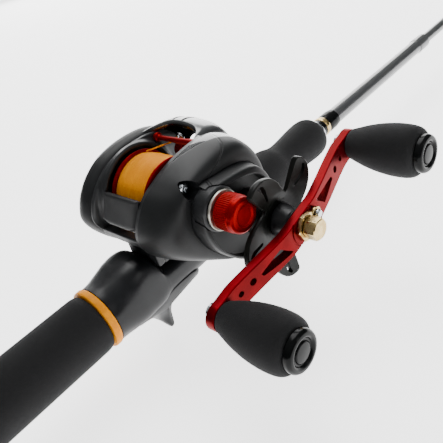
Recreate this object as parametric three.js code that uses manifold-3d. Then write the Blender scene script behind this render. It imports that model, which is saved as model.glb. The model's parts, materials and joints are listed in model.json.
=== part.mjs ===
// A telescopic casting rod with a low-profile baitcasting reel, in millimetres.
// +Y runs along the rod from the butt to the tip, +X to the crank side, +Z up to the reel.
// The origin is the centre of the butt cap's flat end face, on the rod's axis.
import * as THREE from "three";
import { mergeVertices } from "three/addons/utils/BufferGeometryUtils.js";
import Module from "manifold-3d";

const wasm = await Module();
wasm.setup();

// ---------- driving dimensions ----------
const gap = 0.3; // clearance between pieces that sit against each other
const slideGap = 0.25; // radial clearance of one rod section in the next
const spinGap = 0.3; // radial clearance round a turning shaft

const buttCap = { length: 14, radius: 13.6, face: 9, plugDepth: 8 };
const rearGrip = { length: 158.2, radius: 12.8, swell: 0.5, edge: 2.6 };
const trimRing = { length: 3.2, radius: 13.6 };
const blank = {
  radius: 4.7, mouthRadius: 4.4, collar: 0.5, collarLength: 12,
  mouthReach: 240, // from the spool's axis forward to the base blank's open end
  boreStart: 96,
};
const wraps = {
  checkLength: 2.4, checkWall: 0.8, wall: 0.3, wrapLength: 4, bandLength: 3.2, sleeveLength: 9,
};
const sections = [
  { name: "section_2", radius: 3.4, exposed: 54 },
  { name: "section_3", radius: 2.4, exposed: 36 },
  { name: "section_4", radius: 1.55, exposed: 30 },
  { name: "tip_section", radius: 0.8, exposed: 26 },
];
const tubeSides = 16; // every nested tube has the same sides in the same phase
const nestStep = 4; // each section's foot stands this far in front of the one round it
const guides = [
  { name: "guide_2", eye: 5.2, height: 10.5 },
  { name: "guide_3", eye: 4, height: 8 },
  { name: "guide_4", eye: 3.1, height: 6 },
  { name: "tip_top", eye: 2, height: 4.4 },
];
const guideFrame = { insert: 0.9, rim: 1, depth: 2.2, sleeve: 12, sleeveWall: 0.7, strut: 1.6 };

const seat = {
  rear: 47.5, // from the seat's rear face forward to the spool's axis
  radius: 13, hoodRadius: 14.4, hoodFront: 24, top: 6.5, platformRadius: 12, platformFront: 30,
  barrelRadius: 9, barrelFront: 62,
};
const trigger = { width: 9, tip: [-20.4, -30.4], tipRadius: 1.4 };
const hood = { from: 26.5, length: 15, radius: 12.8 };
const lockNut = { length: 20, radius: 10.9, flange: 12.2, flangeLength: 6 };
const foreGrip = { front: 107, rearRadius: 9.6, waist: 8.6, flare: 11.3, flareAt: 94, wall: 1.3 };

const foot = { length: 63, width: 13, thickness: 2.4 };
const spoolZ = 29.7;
const spool = { left: -11.6, right: 10.4, flange: 17.4, flangeThickness: 1.2, arbor: 8, hub: 3.4 };
const line = { packRadius: 16.2, strandRadius: 0.35 };
const shaftRadius = 1.5;
const frameWall = { leftOuter: -17, left: -12.2, right: 11.2, rightOuter: 13 };
const leftPlate = { outer: -27, round: 7 };
const rightPlate = { outer: 30, wall: 3, round: 7, rim: 2 };
const driveAngle = -37; // degrees, from the spool's axis to the crank shaft's
const mainGears = { module: 0.55, gearTeeth: 63, pinionTeeth: 10, from: 18, to: 21.6 };
const windGears = { module: 0.6, gearTeeth: 46, wormTeeth: 22, from: 14, to: 16.2, angle: 64.3 };
const toothDepth = 0.62; // tip above and below the pitch circle, in modules
const crankShaft = { radius: 2.6, from: 13.6, to: 62.6 };
const drag = { radius: 12.4, from: 21.9, to: 24.4 };
const boss = {
  tensionRadius: 9.2, tensionTo: 36,
  nippleRadius: 5.4, nippleTo: 44.5,
  driveRadius: 9, driveTo: 37,
};
const tension = { radius: 7.4, length: 10.2, washerRadius: 8.2, washerLength: 1.1, end: 2.2 };
const star = {
  radius: 25.4, hubRadius: 6.4, arms: 5, angle: 46,
  dish: 48.4, tipX: 50.4, thickness: 2.6,
};
const arm = {
  length: 46, angle: 12.4, thickness: 4,
  centreX: 57, endX: 51.6, centreRadius: 8.6, endRadius: 5.6,
};
const nut = { flats: 8, length: 5, plateFlats: 10.5, plateLength: 1.4, screwRadius: 1.3 };
const knob = {
  length: 33.6, base: 6.6, radius: 10.6, neck: 8.4,
  cap: 7.4, capLength: 3.2, postRadius: 1.7,
};
const worm = { radius: 2.1, guideWidth: 5, guideBore: 0.35, restX: -8 };
const thumbBar = { length: 12.6, thickness: 3.2, width: 22.4, at: [-20.8, 33.4], tilt: 62 };
const brakeDial = { radius: 9, at: [4, 27], thickness: 2.6, sunk: 1 };
const bearing = { // from, to and outer radius of each, along x
  left: [-21.4, -18, 5],
  right: [38.2, 41.2, 3.9],
  pinion: [24.2, 26.7, 4.6],
  crank: [27.4, 29.8, 5.2],
};
const clutch = { radius: 6.6, from: 30.4, to: 36.6 };
const cowl = { thickness: 2.6, slots: [-7.5, 0, 7.5], slotLength: 9, slotWidth: 2 };
const plateScrew = { at: [-5.3, 40.6], seatX: 22, radius: 2.7, length: 1.9, recess: 4 };

// ---------- places worked out from them ----------
const ringFrom = buttCap.length + gap + rearGrip.length + gap;
const seatFrom = ringFrom + trimRing.length + gap;
const spoolY = seatFrom + seat.rear;
const mouthY = spoolY + blank.mouthReach;
const blankFrom = buttCap.length - buttCap.plugDepth + gap;
const blankBore = sections[0].radius + slideGap;
const gripBore = blank.radius + gap;
const wrapRadius = blank.radius + gap + wraps.wall;
const checkBore = wrapRadius + 2 * gap;
const checkRadius = checkBore + wraps.checkWall;
const spoolBore = spool.flange + 2 * spinGap;
const seatBore = blank.radius + gap;
const mainDistance = (mainGears.module * (mainGears.gearTeeth + mainGears.pinionTeeth)) / 2;
const windDistance = (windGears.module * (windGears.gearTeeth + windGears.wormTeeth)) / 2;
const rad = THREE.MathUtils.degToRad;
const driveAxis = [
  mainDistance * Math.cos(rad(driveAngle)),
  spoolZ + mainDistance * Math.sin(rad(driveAngle)),
];
const wormAxis = [
  driveAxis[0] + windDistance * Math.cos(rad(windGears.angle)),
  driveAxis[1] + windDistance * Math.sin(rad(windGears.angle)),
];
const spoolAxis = [0, spoolZ];
const footBottom = seat.top + gap;
const footTop = footBottom + foot.thickness;
const spoolBottom = spoolZ - spool.flange;
const checkFrom = foreGrip.front + gap;
const nutFrom = hood.from + hood.length + gap;

// ---------- solids ----------
// A three.js geometry as a solid, with shared corners merged and faces turned out.
function toSolid(geometry) {
  const loose = geometry.index ? geometry.toNonIndexed() : geometry;
  const bare = new THREE.BufferGeometry().setAttribute("position", loose.getAttribute("position"));
  const merged = mergeVertices(bare, 1e-4);
  const kept = [];
  for (let i = 0; i < merged.index.count; i += 3) {
    const [a, b, c] = merged.index.array.slice(i, i + 3);
    if (a !== b && b !== c && c !== a) kept.push(a, b, c);
  }
  const build = (order) =>
    new wasm.Manifold(
      new wasm.Mesh({
        numProp: 3,
        vertProperties: merged.attributes.position.array,
        triVerts: new Uint32Array(order),
      }),
    );
  const solid = build(kept);
  if (solid.volume() > 0) return solid;
  for (let i = 0; i < kept.length; i += 3) [kept[i + 1], kept[i + 2]] = [kept[i + 2], kept[i + 1]];
  return build(kept);
}

// A profile of [radius, distance along the axis], turned about an axis along x or y.
function turned(profile, axis = "y", centre = [0, 0], segments = 20) {
  const points = profile.map(([radius, along]) => new THREE.Vector2(radius, along));
  if (profile[0][0] > 0) points.push(points[0].clone());
  const geometry = new THREE.LatheGeometry(points, segments);
  if (axis === "x") geometry.rotateZ(-Math.PI / 2).translate(0, centre[0], centre[1]);
  else geometry.translate(centre[0], 0, centre[1]);
  return toSolid(geometry);
}
const rod = (radius, from, to, axis, centre, segments) =>
  turned([[0, from], [radius, from], [radius, to], [0, to]], axis, centre, segments);
const tube = (inner, outer, from, to, axis, centre, segments) =>
  turned([[inner, from], [outer, from], [outer, to], [inner, to]], axis, centre, segments);

function block([x0, x1], [y0, y1], [z0, z1]) {
  const geometry = new THREE.BoxGeometry(x1 - x0, y1 - y0, z1 - z0);
  return toSolid(geometry.translate((x0 + x1) / 2, (y0 + y1) / 2, (z0 + z1) / 2));
}

const basisX = new THREE.Matrix4().makeBasis(
  new THREE.Vector3(0, 1, 0), new THREE.Vector3(0, 0, 1), new THREE.Vector3(1, 0, 0));
// An outline in (y, z), carried from x0 to x1, with its outer edges rounded where asked.
function prismX(shape, x0, x1, round = 0) {
  const geometry = new THREE.ExtrudeGeometry(shape, {
    depth: x1 - x0 - 2 * round, curveSegments: 10,
    bevelEnabled: round > 0, bevelThickness: round, bevelSize: round, bevelOffset: -round, bevelSegments: 2,
  });
  return toSolid(geometry.applyMatrix4(basisX).translate(x0 + round, 0, 0));
}
const polygon = (points) => new THREE.Shape(points.map(([u, v]) => new THREE.Vector2(u, v)));

// A closed smooth outline through a few points, drawn in towards its middle by an inset.
function smoothOutline(points, inset = 0, steps = 34) {
  const middle = new THREE.Vector3();
  for (const [u, v] of points) middle.add(new THREE.Vector3(u, v, 0));
  middle.divideScalar(points.length);
  const drawnIn = points.map(([u, v]) => {
    const spoke = new THREE.Vector3(u, v, 0).sub(middle);
    return spoke.setLength(spoke.length() - inset).add(middle);
  });
  const curve = new THREE.CatmullRomCurve3(drawnIn, true, "centripetal");
  return new THREE.Shape(curve.getPoints(steps).slice(0, -1).map((p) => new THREE.Vector2(p.x, p.y)));
}

function hexagon(flats) {
  const corner = flats / Math.sqrt(3);
  const turns = [0, 1, 2, 3, 4, 5].map((k) => rad(60 * k));
  return polygon(turns.map((turn) => [corner * Math.cos(turn), corner * Math.sin(turn)]));
}

// A spur gear about an axis along x; one tooth points at the angle given.
function gear({ teeth, module, from, to, bore, centre, angle }) {
  const pitch = (module * teeth) / 2;
  const tip = pitch + toothDepth * module;
  const root = pitch - (toothDepth + 0.25) * module;
  const step = (2 * Math.PI) / teeth;
  const shape = new THREE.Shape();
  for (let k = 0; k < teeth; k++) {
    const middle = rad(angle) + k * step;
    for (const [radius, turn] of [[root, -0.27], [tip, -0.11], [tip, 0.11], [root, 0.27]]) {
      const x = centre[0] + radius * Math.cos(middle + turn * step);
      const y = centre[1] + radius * Math.sin(middle + turn * step);
      if (k === 0 && turn === -0.27) shape.moveTo(x, y);
      else shape.lineTo(x, y);
    }
  }
  const hole = new THREE.Path();
  hole.absarc(centre[0], centre[1], bore, 0, 2 * Math.PI, true);
  shape.holes.push(hole);
  return prismX(shape, from, to);
}

// ---------- materials ----------
const finish = (color, roughness, metalness = 0) =>
  new THREE.MeshStandardMaterial({ color, roughness, metalness });
const finishes = {
  foam: finish(0x151516, 0.95),
  carbon: finish(0x26272a, 0.35),
  satin: finish(0x1b1c20, 0.5),
  gloss: finish(0x0e0f11, 0.15),
  red: finish(0xa3121d, 0.3, 0.9),
  orange: finish(0xf5a11c, 0.5),
  braid: finish(0xff7a1e, 0.8),
  steel: finish(0xc9ccd0, 0.25, 1),
  brass: finish(0xc8a96a, 0.3, 1),
  dark: finish(0x303236, 0.5, 0.6),
  ceramic: finish(0x3b3f45, 0.2),
};

const model = new THREE.Group();
const reel = new THREE.Group();
reel.position.y = spoolY;
model.add(reel);

function add(name, solid, material, group = reel) {
  const mesh = solid.getMesh();
  const geometry = new THREE.BufferGeometry();
  geometry.setAttribute("position", new THREE.BufferAttribute(new Float32Array(mesh.vertProperties), 3));
  geometry.setIndex(new THREE.BufferAttribute(new Uint32Array(mesh.triVerts), 1));
  geometry.computeVertexNormals();
  const node = new THREE.Mesh(geometry, material);
  node.name = name;
  group.add(node);
}

// ---------- rod handle ----------
function rodHandle() {
  const cap = turned([
    [0, 0], [buttCap.face, 0], [buttCap.radius - 1.2, 1], [buttCap.radius, 3.4],
    [buttCap.radius, buttCap.length], [gripBore, buttCap.length],
    [gripBore, buttCap.length - buttCap.plugDepth],
    [0, buttCap.length - buttCap.plugDepth],
  ]);
  add("butt_cap", cap, finishes.satin, model);
  const gripFrom = buttCap.length + gap;
  const gripTo = gripFrom + rearGrip.length;
  const { radius, swell, edge } = rearGrip;
  const grip = turned([
    [gripBore, gripFrom], [radius - 1, gripFrom], [radius, gripFrom + edge],
    [radius + swell, gripFrom + rearGrip.length / 3], [radius, gripTo - edge],
    [radius - 0.6, gripTo - 0.6], [radius - edge, gripTo], [gripBore, gripTo],
  ], "y", [0, 0], 28);
  add("rear_grip", grip, finishes.foam, model);
  const ringTo = ringFrom + trimRing.length;
  const ring = tube(gripBore, trimRing.radius, ringFrom, ringTo, "y", [0, 0], 28);
  add("trim_ring", ring, finishes.orange, model);
}

// ---------- rod sections and guides ----------
function rodSections() {
  const collarFrom = mouthY - blank.collarLength;
  const tubeWall = turned([
    [0, blankFrom], [blank.radius, blankFrom], [blank.radius, spoolY + foreGrip.front],
    [blank.mouthRadius, collarFrom - 1], [blank.mouthRadius + blank.collar, collarFrom],
    [blank.mouthRadius + blank.collar, mouthY - 0.6], [blank.mouthRadius, mouthY], [blankBore, mouthY],
    [blankBore, blank.boreStart], [0, blank.boreStart],
  ], "y", [0, 0], 24);
  add("base_blank", tubeWall, finishes.carbon, model);

  let mouth = mouthY;
  let footAt = blank.boreStart;
  sections.forEach((section, i) => {
    const next = sections[i + 1];
    footAt += nestStep;
    mouth += section.exposed;
    const bore = next ? next.radius + slideGap : 0;
    const body = next
      ? tube(bore, section.radius, footAt, mouth, "y", [0, 0], tubeSides)
      : rod(section.radius, footAt, mouth, "y", [0, 0], tubeSides);
    add(section.name, body, finishes.carbon, model);
    lineGuide(guides[i], section, mouth, !next);
  });
}

// A ring guide on the top of a section's end: sleeve, strut and rim, with a hard ring inside the rim.
function lineGuide(guide, section, mouth, closed) {
  const { insert, rim, depth, sleeve, sleeveWall, strut } = guideFrame;
  const sleeveFrom = mouth - sleeve + (closed ? gap + 2 : 0);
  const sleeveTo = closed ? mouth + gap + 1.2 : mouth - 0.4;
  const sleeveRadius = section.radius + gap + sleeveWall;
  const inner = guide.eye + insert + gap;
  const ringZ = guide.height;
  const ringAt = sleeveTo - depth;
  let body = rod(sleeveRadius, sleeveFrom, sleeveTo, "y", [0, 0], tubeSides);
  body = body.add(block([-strut / 2, strut / 2], [ringAt, sleeveTo], [0, ringZ - guide.eye - insert]));
  body = body.add(rod(inner + rim, ringAt, sleeveTo, "y", [0, ringZ], tubeSides));
  body = body.subtract(rod(inner, ringAt - 1, sleeveTo + 1, "y", [0, ringZ], tubeSides));
  const bore = section.radius + gap;
  const boreTo = closed ? mouth + gap : sleeveTo + 1;
  body = body.subtract(rod(bore, sleeveFrom - 1, boreTo, "y", [0, 0], tubeSides));
  add(guide.name, body, finishes.dark, model);
  const ring = tube(guide.eye, guide.eye + insert, ringAt, sleeveTo, "y", [0, ringZ], tubeSides);
  add(guide.name + "_ring", ring, finishes.ceramic, model);
}

// ---------- reel seat, sliding hood, lock nut and fore grip ----------
function reelSeat() {
  const rear = -seat.rear;
  const footHalf = foot.length / 2 + gap;
  let body = turned([
    [0, rear], [seat.radius, rear], [seat.radius + 0.6, rear + 7], [seat.hoodRadius, -seat.hoodFront - 8],
    [seat.hoodRadius - 1, -seat.hoodFront], [seat.platformRadius, -seat.hoodFront],
    [seat.platformRadius, seat.platformFront - 6], [seat.barrelRadius, seat.platformFront - 4],
    [seat.barrelRadius, seat.barrelFront], [0, seat.barrelFront],
  ], "y", [0, 0], 28);
  const { tip, tipRadius, width } = trigger;
  const blade = polygon([
    [-37, -8], [-31.4, -14.8], [-26.6, -21], [-23.4, -26.6], [tip[0] - tipRadius, tip[1]],
    [tip[0] + tipRadius, tip[1] + 0.6], [-18.9, -21], [-17.4, -15], [-12.2, -11], [-10, -8],
  ]);
  body = body.add(prismX(blade, -width / 2, width / 2));
  const wide = seat.hoodRadius + 2;
  body = body.subtract(block([-wide, wide], [-seat.hoodFront, hood.from + hood.length], [seat.top, wide]));
  const pocket = foot.width / 2 + gap;
  body = body.subtract(block([-pocket, pocket], [-footHalf, 0], [seat.top, footTop + gap]));
  body = body.subtract(rod(seatBore, rear - 1, seat.barrelFront + 1, "y", [0, 0], 24));
  add("reel_seat", body, finishes.satin);
}

function lockingHood() {
  const bore = seat.barrelRadius + gap;
  const to = hood.from + hood.length;
  let ring = turned([
    [bore, hood.from], [hood.radius - 1, hood.from], [hood.radius, hood.from + 1.5], [hood.radius, to - 5],
    [lockNut.flange, to], [bore, to],
  ], "y", [0, 0], 28);
  const side = foot.width / 2 + gap;
  ring = ring.subtract(block([-side, side], [hood.from - 1, foot.length / 2 + gap + 1], [0, footTop + gap]));
  add("sliding_hood", ring, finishes.satin);

  const nutTo = nutFrom + lockNut.length;
  const flangeTo = nutFrom + lockNut.flangeLength;
  const barrel = turned([
    [bore, nutFrom], [lockNut.flange, nutFrom], [lockNut.flange, flangeTo], [lockNut.radius, flangeTo],
    [lockNut.radius, nutTo], [bore, nutTo],
  ], "y", [0, 0], 28);
  add("lock_nut", barrel, finishes.satin);

  const { front, rearRadius, waist, flare, flareAt, wall } = foreGrip;
  const socket = lockNut.radius + gap;
  const gripFrom = flangeTo + gap;
  const grip = turned([
    [socket, gripFrom], [socket + wall, gripFrom], [socket + wall, nutTo - 1], [rearRadius, nutTo + 5],
    [waist, nutTo + 12], [flare - 1.2, flareAt - 9], [flare, flareAt], [flare - 0.8, front - 7],
    [flare - 3.2, front - 2.2], [checkRadius, front], [checkBore, front],
    [checkBore, nutTo + gap], [socket, nutTo + gap],
  ], "y", [0, 0], 28);
  add("fore_grip", grip, finishes.foam);

  const checkTo = checkFrom + wraps.checkLength;
  const check = tube(checkBore, checkRadius, checkFrom, checkTo, "y", [0, 0], 24);
  add("winding_check", check, finishes.steel);
}

function blankTrim() {
  const bore = blank.radius + gap;
  const wrapFrom = foreGrip.front - 2;
  const bandFrom = checkFrom + wraps.checkLength + wraps.wrapLength;
  const sleeveFrom = bandFrom + wraps.bandLength + gap;
  const wrap = tube(bore, wrapRadius, wrapFrom, bandFrom - gap, "y", [0, 0], 24);
  add("blank_wrap", wrap, finishes.gloss);
  const bandTo = bandFrom + wraps.bandLength;
  const band = tube(bore, wrapRadius + 0.1, bandFrom, bandTo, "y", [0, 0], 24);
  add("gold_band", band, finishes.brass);
  const sleeve = tube(bore, wrapRadius, sleeveFrom, sleeveFrom + wraps.sleeveLength, "y", [0, 0], 24);
  add("blank_sleeve", sleeve, finishes.gloss);
}

// ---------- reel frame and covers ----------
const palmOutline = [
  [-27, 28], [-23, 39], [-12, 46.5], [4, 49.8], [18, 48.6], [28.5, 44], [35, 35], [35.5, 24], [29, 13.5],
  [16, 8.6], [0, 7.6], [-14, 10], [-23.5, 17],
];
const crankOutline = [
  [-26, 28], [-21, 39], [-10, 46.6], [4, 49.8], [18, 48.6], [29.5, 44.6], [36.4, 35], [38.2, 22], [36, 8],
  [28, -1], [16, -4.2], [4, -1.4], [-8, 5], [-19, 13], [-25, 20],
];

function reelFrame() {
  const { leftOuter, left, right, rightOuter } = frameWall;
  const palm = prismX(smoothOutline(palmOutline, 1.2), leftOuter, left);
  const crank = prismX(smoothOutline(palmOutline, 1.2), right, rightOuter);
  const footHalf = foot.length / 2;
  let body = palm.subtract(rod(spoolBore, leftOuter - 1, left + 1, "x", spoolAxis, 28)).add(crank);
  const bridgeTop = spoolBottom - gap;
  body = body.add(block([leftOuter + 1, rightOuter - 0.5], [-17, 20], [footTop - 0.6, bridgeTop]));
  body = body.add(block([leftOuter + 1, rightOuter - 0.5], [27, 31.5], [14.2, 20]));
  body = body.add(block([leftOuter + 1, rightOuter - 0.5], [-24.4, -19.2], [14.6, 19.6]));
  body = body.add(block([-foot.width / 2, foot.width / 2], [-footHalf, footHalf], [footBottom, footTop]));
  body = body.subtract(rod(worm.radius + spinGap, right - 1, rightOuter + 1, "x", wormAxis, 16));
  body = body.subtract(rod(shaftRadius + 1, right - 1, rightOuter + 1, "x", spoolAxis, 16));
  add("reel_frame", body, finishes.dark);
}

function palmPlate() {
  const inner = frameWall.leftOuter - gap;
  const solid = prismX(smoothOutline(palmOutline), leftPlate.outer, inner + leftPlate.round, leftPlate.round);
  let body = solid.subtract(block([inner, inner + 30], [-60, 60], [-20, 80]));
  const [from, , radius] = bearing.left;
  body = body.subtract(rod(radius + gap, from - gap, inner + 1, "x", spoolAxis, 18));
  body = body.subtract(rod(shaftRadius + 1, from - 2, inner + 1, "x", spoolAxis, 18));
  const dialFloor = leftPlate.outer + brakeDial.thickness - brakeDial.sunk + gap;
  body = body.subtract(rod(brakeDial.radius + gap, leftPlate.outer - 5, dialFloor, "x", brakeDial.at, 24));
  add("left_side_plate", body, finishes.satin);
  const dialFrom = dialFloor - gap - brakeDial.thickness;
  const dial = rod(brakeDial.radius, dialFrom, dialFloor - gap, "x", brakeDial.at, 24);
  const grip = block([dialFrom - 1.4, dialFrom + 0.5],
    [brakeDial.at[0] - 1.4, brakeDial.at[0] + 1.4],
    [brakeDial.at[1] - brakeDial.radius + 1.5, brakeDial.at[1] + brakeDial.radius - 1.5]);
  add("brake_dial", dial.add(grip), finishes.gloss);
}

function crankPlate() {
  const { outer, wall, round, rim } = rightPlate;
  const inner = frameWall.rightOuter + gap;
  const full = prismX(smoothOutline(crankOutline), inner - round, outer, round);
  let body = full.subtract(block([inner - 30, inner], [-80, 80], [-40, 90]));
  const hollow = prismX(smoothOutline(crankOutline, rim), inner - 2 * round, outer - wall, round - 1);
  body = body.subtract(hollow);
  body = body.add(rod(boss.tensionRadius, outer - 2, boss.tensionTo, "x", spoolAxis, 28));
  body = body.add(rod(boss.nippleRadius, outer - 2, boss.nippleTo, "x", spoolAxis, 18));
  body = body.add(rod(boss.driveRadius, outer - 2, boss.driveTo, "x", driveAxis, 28));
  const [pinionFrom, pinionTo, pinionRadius] = bearing.pinion;
  body = body.add(rod(pinionRadius + gap + 1.2, pinionFrom, outer - 1, "x", spoolAxis, 18));
  body = body.subtract(rod(pinionRadius + gap, pinionFrom - 1, pinionTo + gap, "x", spoolAxis, 18));
  body = body.subtract(rod(shaftRadius + 1, pinionTo, boss.nippleTo + 1, "x", spoolAxis, 18));
  const [capFrom, , capRadius] = bearing.right;
  body = body.subtract(rod(capRadius + gap, capFrom - gap, boss.nippleTo + 1, "x", spoolAxis, 18));
  const [crankFrom, , crankRadius] = bearing.crank;
  body = body.subtract(rod(crankRadius + gap, crankFrom - 2, outer + 0.2, "x", driveAxis, 18));
  body = body.subtract(rod(clutch.radius + gap, clutch.from - gap, boss.driveTo + 1, "x", driveAxis, 18));
  body = body.subtract(rod(plateScrew.recess, plateScrew.seatX, outer + 5, "x", plateScrew.at, 24));
  add("right_side_plate", body, finishes.satin);
  const head = plateScrew.seatX + gap;
  const screw = rod(plateScrew.radius, head, head + plateScrew.length, "x", plateScrew.at, 24);
  const drive = plateScrew.radius * 0.6;
  const [screwY, screwZ] = plateScrew.at;
  const cross = block([head + 1, head + 5], [screwY - drive, screwY + drive], [screwZ - 0.35, screwZ + 0.35])
    .add(block([head + 1, head + 5], [screwY - 0.35, screwY + 0.35], [screwZ - drive, screwZ + drive]));
  add("side_plate_screw", screw.subtract(cross), finishes.steel);
}

function topCowl() {
  const outerCurve = [[11.5, 50.6], [17, 50.8], [24, 49], [31, 44.8], [35.6, 39.4]];
  const innerCurve = outerCurve.map(([y, z], i) => {
    const slope = rad([90, 82, 66, 52, 46][i]);
    return [y - cowl.thickness * Math.cos(slope), z - cowl.thickness * Math.sin(slope)];
  });
  const from = frameWall.left + gap;
  const to = frameWall.right - gap;
  let body = prismX(polygon([...outerCurve, ...innerCurve.reverse()]), from, to);
  for (const x of cowl.slots) {
    const half = cowl.slotLength / 2;
    body = body.subtract(block([x - cowl.slotWidth, x + cowl.slotWidth], [22 - half, 22 + half], [40, 60]));
  }
  add("top_cowl", body, finishes.gloss);
}

// ---------- spool, line and level wind ----------
function spoolSet() {
  const { left, right, flange, flangeThickness, arbor, hub } = spool;
  const bore = shaftRadius + gap;
  const body = turned([
    [bore, left - 2.6], [hub, left - 2.6], [hub + 1, left], [flange, left], [flange, left + flangeThickness],
    [arbor, left + flangeThickness], [arbor, right - flangeThickness], [flange, right - flangeThickness],
    [flange, right], [bore, right],
  ], "x", spoolAxis, 28);
  add("spool", body, finishes.red);
  const packFrom = left + flangeThickness + gap;
  const packTo = right - flangeThickness - gap;
  const pack = turned([
    [arbor + gap, packFrom], [line.packRadius - 0.5, packFrom], [line.packRadius, (packFrom + packTo) / 2],
    [line.packRadius - 0.5, packTo], [arbor + gap, packTo],
  ], "x", spoolAxis, 28);
  add("line_pack", pack, finishes.braid);
  const shaftTo = boss.nippleTo + gap;
  add("spool_shaft", rod(shaftRadius, bearing.left[0] - 1, shaftTo, "x", spoolAxis, 20), finishes.steel);
  const pinion = gear({
    teeth: mainGears.pinionTeeth, module: mainGears.module,
    from: mainGears.from - 0.8, to: mainGears.to + 1.4,
    bore: shaftRadius + 0.15, centre: spoolAxis, angle: driveAngle + 180 / mainGears.pinionTeeth,
  });
  add("pinion_gear", pinion, finishes.brass);
}

function bearings() {
  const place = {
    spool_bearing_left: bearing.left,
    spool_bearing_right: bearing.right,
    pinion_bearing: bearing.pinion,
  };
  for (const [name, [from, to, radius]] of Object.entries(place))
    add(name, tube(shaftRadius + spinGap, radius, from, to, "x", spoolAxis, 18), finishes.steel);
  const [from, to, radius] = bearing.crank;
  const bore = crankShaft.radius + spinGap;
  add("crank_bearing", tube(bore, radius, from, to, "x", driveAxis, 18), finishes.steel);
  const sleeve = tube(bore, clutch.radius, clutch.from, clutch.to, "x", driveAxis, 18);
  add("one_way_clutch", sleeve, finishes.steel);
}

function levelWind() {
  const shaft = rod(worm.radius, frameWall.left + gap, windGears.to + 1, "x", wormAxis, 20);
  const wheel = gear({
    teeth: windGears.wormTeeth, module: windGears.module, from: windGears.from, to: windGears.to,
    bore: worm.radius - 0.4, centre: wormAxis, angle: windGears.angle + 180 + 180 / windGears.wormTeeth,
  });
  add("worm_shaft", shaft.add(wheel), finishes.steel);

  const [y, z] = wormAxis;
  const half = worm.guideWidth / 2;
  const bore = worm.radius + worm.guideBore;
  const [from, to] = [worm.restX - half, worm.restX + half];
  let carriage = rod(bore + 1.5, from, to, "x", wormAxis, 24);
  carriage = carriage.add(block([from, to], [y - 2, y + 2], [z, z + 7.6]));
  carriage = carriage.subtract(block([from + 0.9, to - 0.9], [y - 4, y + 4], [z + bore + 1, z + 6.4]));
  carriage = carriage.subtract(rod(bore, from - 1, to + 1, "x", wormAxis, 24));
  add("line_guide", carriage, finishes.red);

  const start = new THREE.Vector3(worm.restX, 5.6, spoolZ + line.packRadius - 0.3);
  const end = new THREE.Vector3(worm.restX, y - 0.5, z + bore + 2.8);
  const middle = start.clone().lerp(end, 0.5);
  const path = new THREE.CatmullRomCurve3([start, middle, end]);
  const section = new THREE.Shape().absarc(0, 0, line.strandRadius, 0, 2 * Math.PI);
  const strand = new THREE.ExtrudeGeometry(section, { extrudePath: path, steps: 4, curveSegments: 4 });
  add("line_strand", toSolid(strand), finishes.braid);
}

function thumbRelease() {
  const { length, thickness, width, at, tilt } = thumbBar;
  const bar = new THREE.BoxGeometry(width, thickness, length).rotateX(-rad(90 - tilt));
  const middle = (frameWall.left + frameWall.right) / 2;
  bar.translate(middle, at[0], at[1]);
  add("thumb_bar", toSolid(bar), finishes.satin);
}

// ---------- crank side ----------
function crankTrain() {
  const { radius, from, to } = crankShaft;
  add("crank_shaft", rod(radius, from, to, "x", driveAxis, 18), finishes.steel);
  const bore = radius + gap;
  const main = gear({
    teeth: mainGears.gearTeeth, module: mainGears.module, from: mainGears.from, to: mainGears.to,
    bore, centre: driveAxis, angle: driveAngle + 180,
  });
  add("drive_gear", main, finishes.brass);
  const wind = gear({
    teeth: windGears.gearTeeth, module: windGears.module, from: windGears.from, to: windGears.to,
    bore, centre: driveAxis, angle: windGears.angle,
  });
  add("wind_gear", wind, finishes.brass);
  add("drag_washers", tube(bore, drag.radius, drag.from, drag.to, "x", driveAxis, 28), finishes.dark);
}

function tensionKnob() {
  const bore = boss.nippleRadius + gap;
  const washerFrom = boss.tensionTo + gap;
  const washerTo = washerFrom + tension.washerLength;
  const washer = tube(bore, tension.washerRadius, washerFrom, washerTo, "x", spoolAxis, 28);
  add("tension_washer", washer, finishes.steel);
  const capFrom = washerTo + gap;
  const capTo = capFrom + tension.length;
  const cap = turned([
    [bore, capFrom], [tension.radius - 0.4, capFrom], [tension.radius, capFrom + 0.6],
    [tension.radius, capTo - 0.8], [tension.radius - 0.8, capTo], [0, capTo],
    [0, capTo - tension.end], [bore, capTo - tension.end],
  ], "x", spoolAxis, 28);
  add("tension_cap", cap, finishes.red);
}

function starDrag(group) {
  const { radius, hubRadius, arms, dish, tipX, thickness } = star;
  const bowl = turned([
    [hubRadius - 2, dish - 5.4], [12.2, dish], [radius + 1, tipX], [radius + 1, tipX + thickness],
    [12.2, dish + thickness], [hubRadius - 2, dish - 2.4],
  ], "x", [0, 0], 32);
  const outline = new THREE.Shape();
  const polar = (r, degrees) => [r * Math.cos(rad(degrees)), r * Math.sin(rad(degrees))];
  for (let k = 0; k < arms; k++) {
    const turn = (360 / arms) * k;
    const corners = [
      [9, -30], [14, -19], [radius - 1.6, -13], [radius, -6], [radius, 6], [radius - 1.6, 13], [14, 17],
    ];
    corners.forEach(([r, degrees], i) => {
      const [y, z] = polar(r, degrees + turn);
      if (k === 0 && i === 0) outline.moveTo(y, z);
      else outline.lineTo(y, z);
    });
  }
  let body = bowl.intersect(prismX(outline, dish - 8, tipX + 6));
  for (let k = 0; k < arms; k++) {
    const turn = (360 / arms) * k;
    const slot = [[13.6, -5], [21, -3.4], [21, 3.4], [13.6, 5]];
    const slotShape = polygon(slot.map(([r, degrees]) => polar(r, turn + degrees)));
    body = body.subtract(prismX(slotShape, dish - 8, tipX + 6));
  }
  body = body.add(rod(hubRadius, boss.driveTo + 2 * gap, dish - 1, "x", [0, 0], 24));
  const bore = crankShaft.radius + gap;
  body = body.subtract(rod(bore, boss.driveTo - 1, dish + 9, "x", [0, 0], 24));
  add("star_drag", body, finishes.gloss, group);
}

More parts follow.
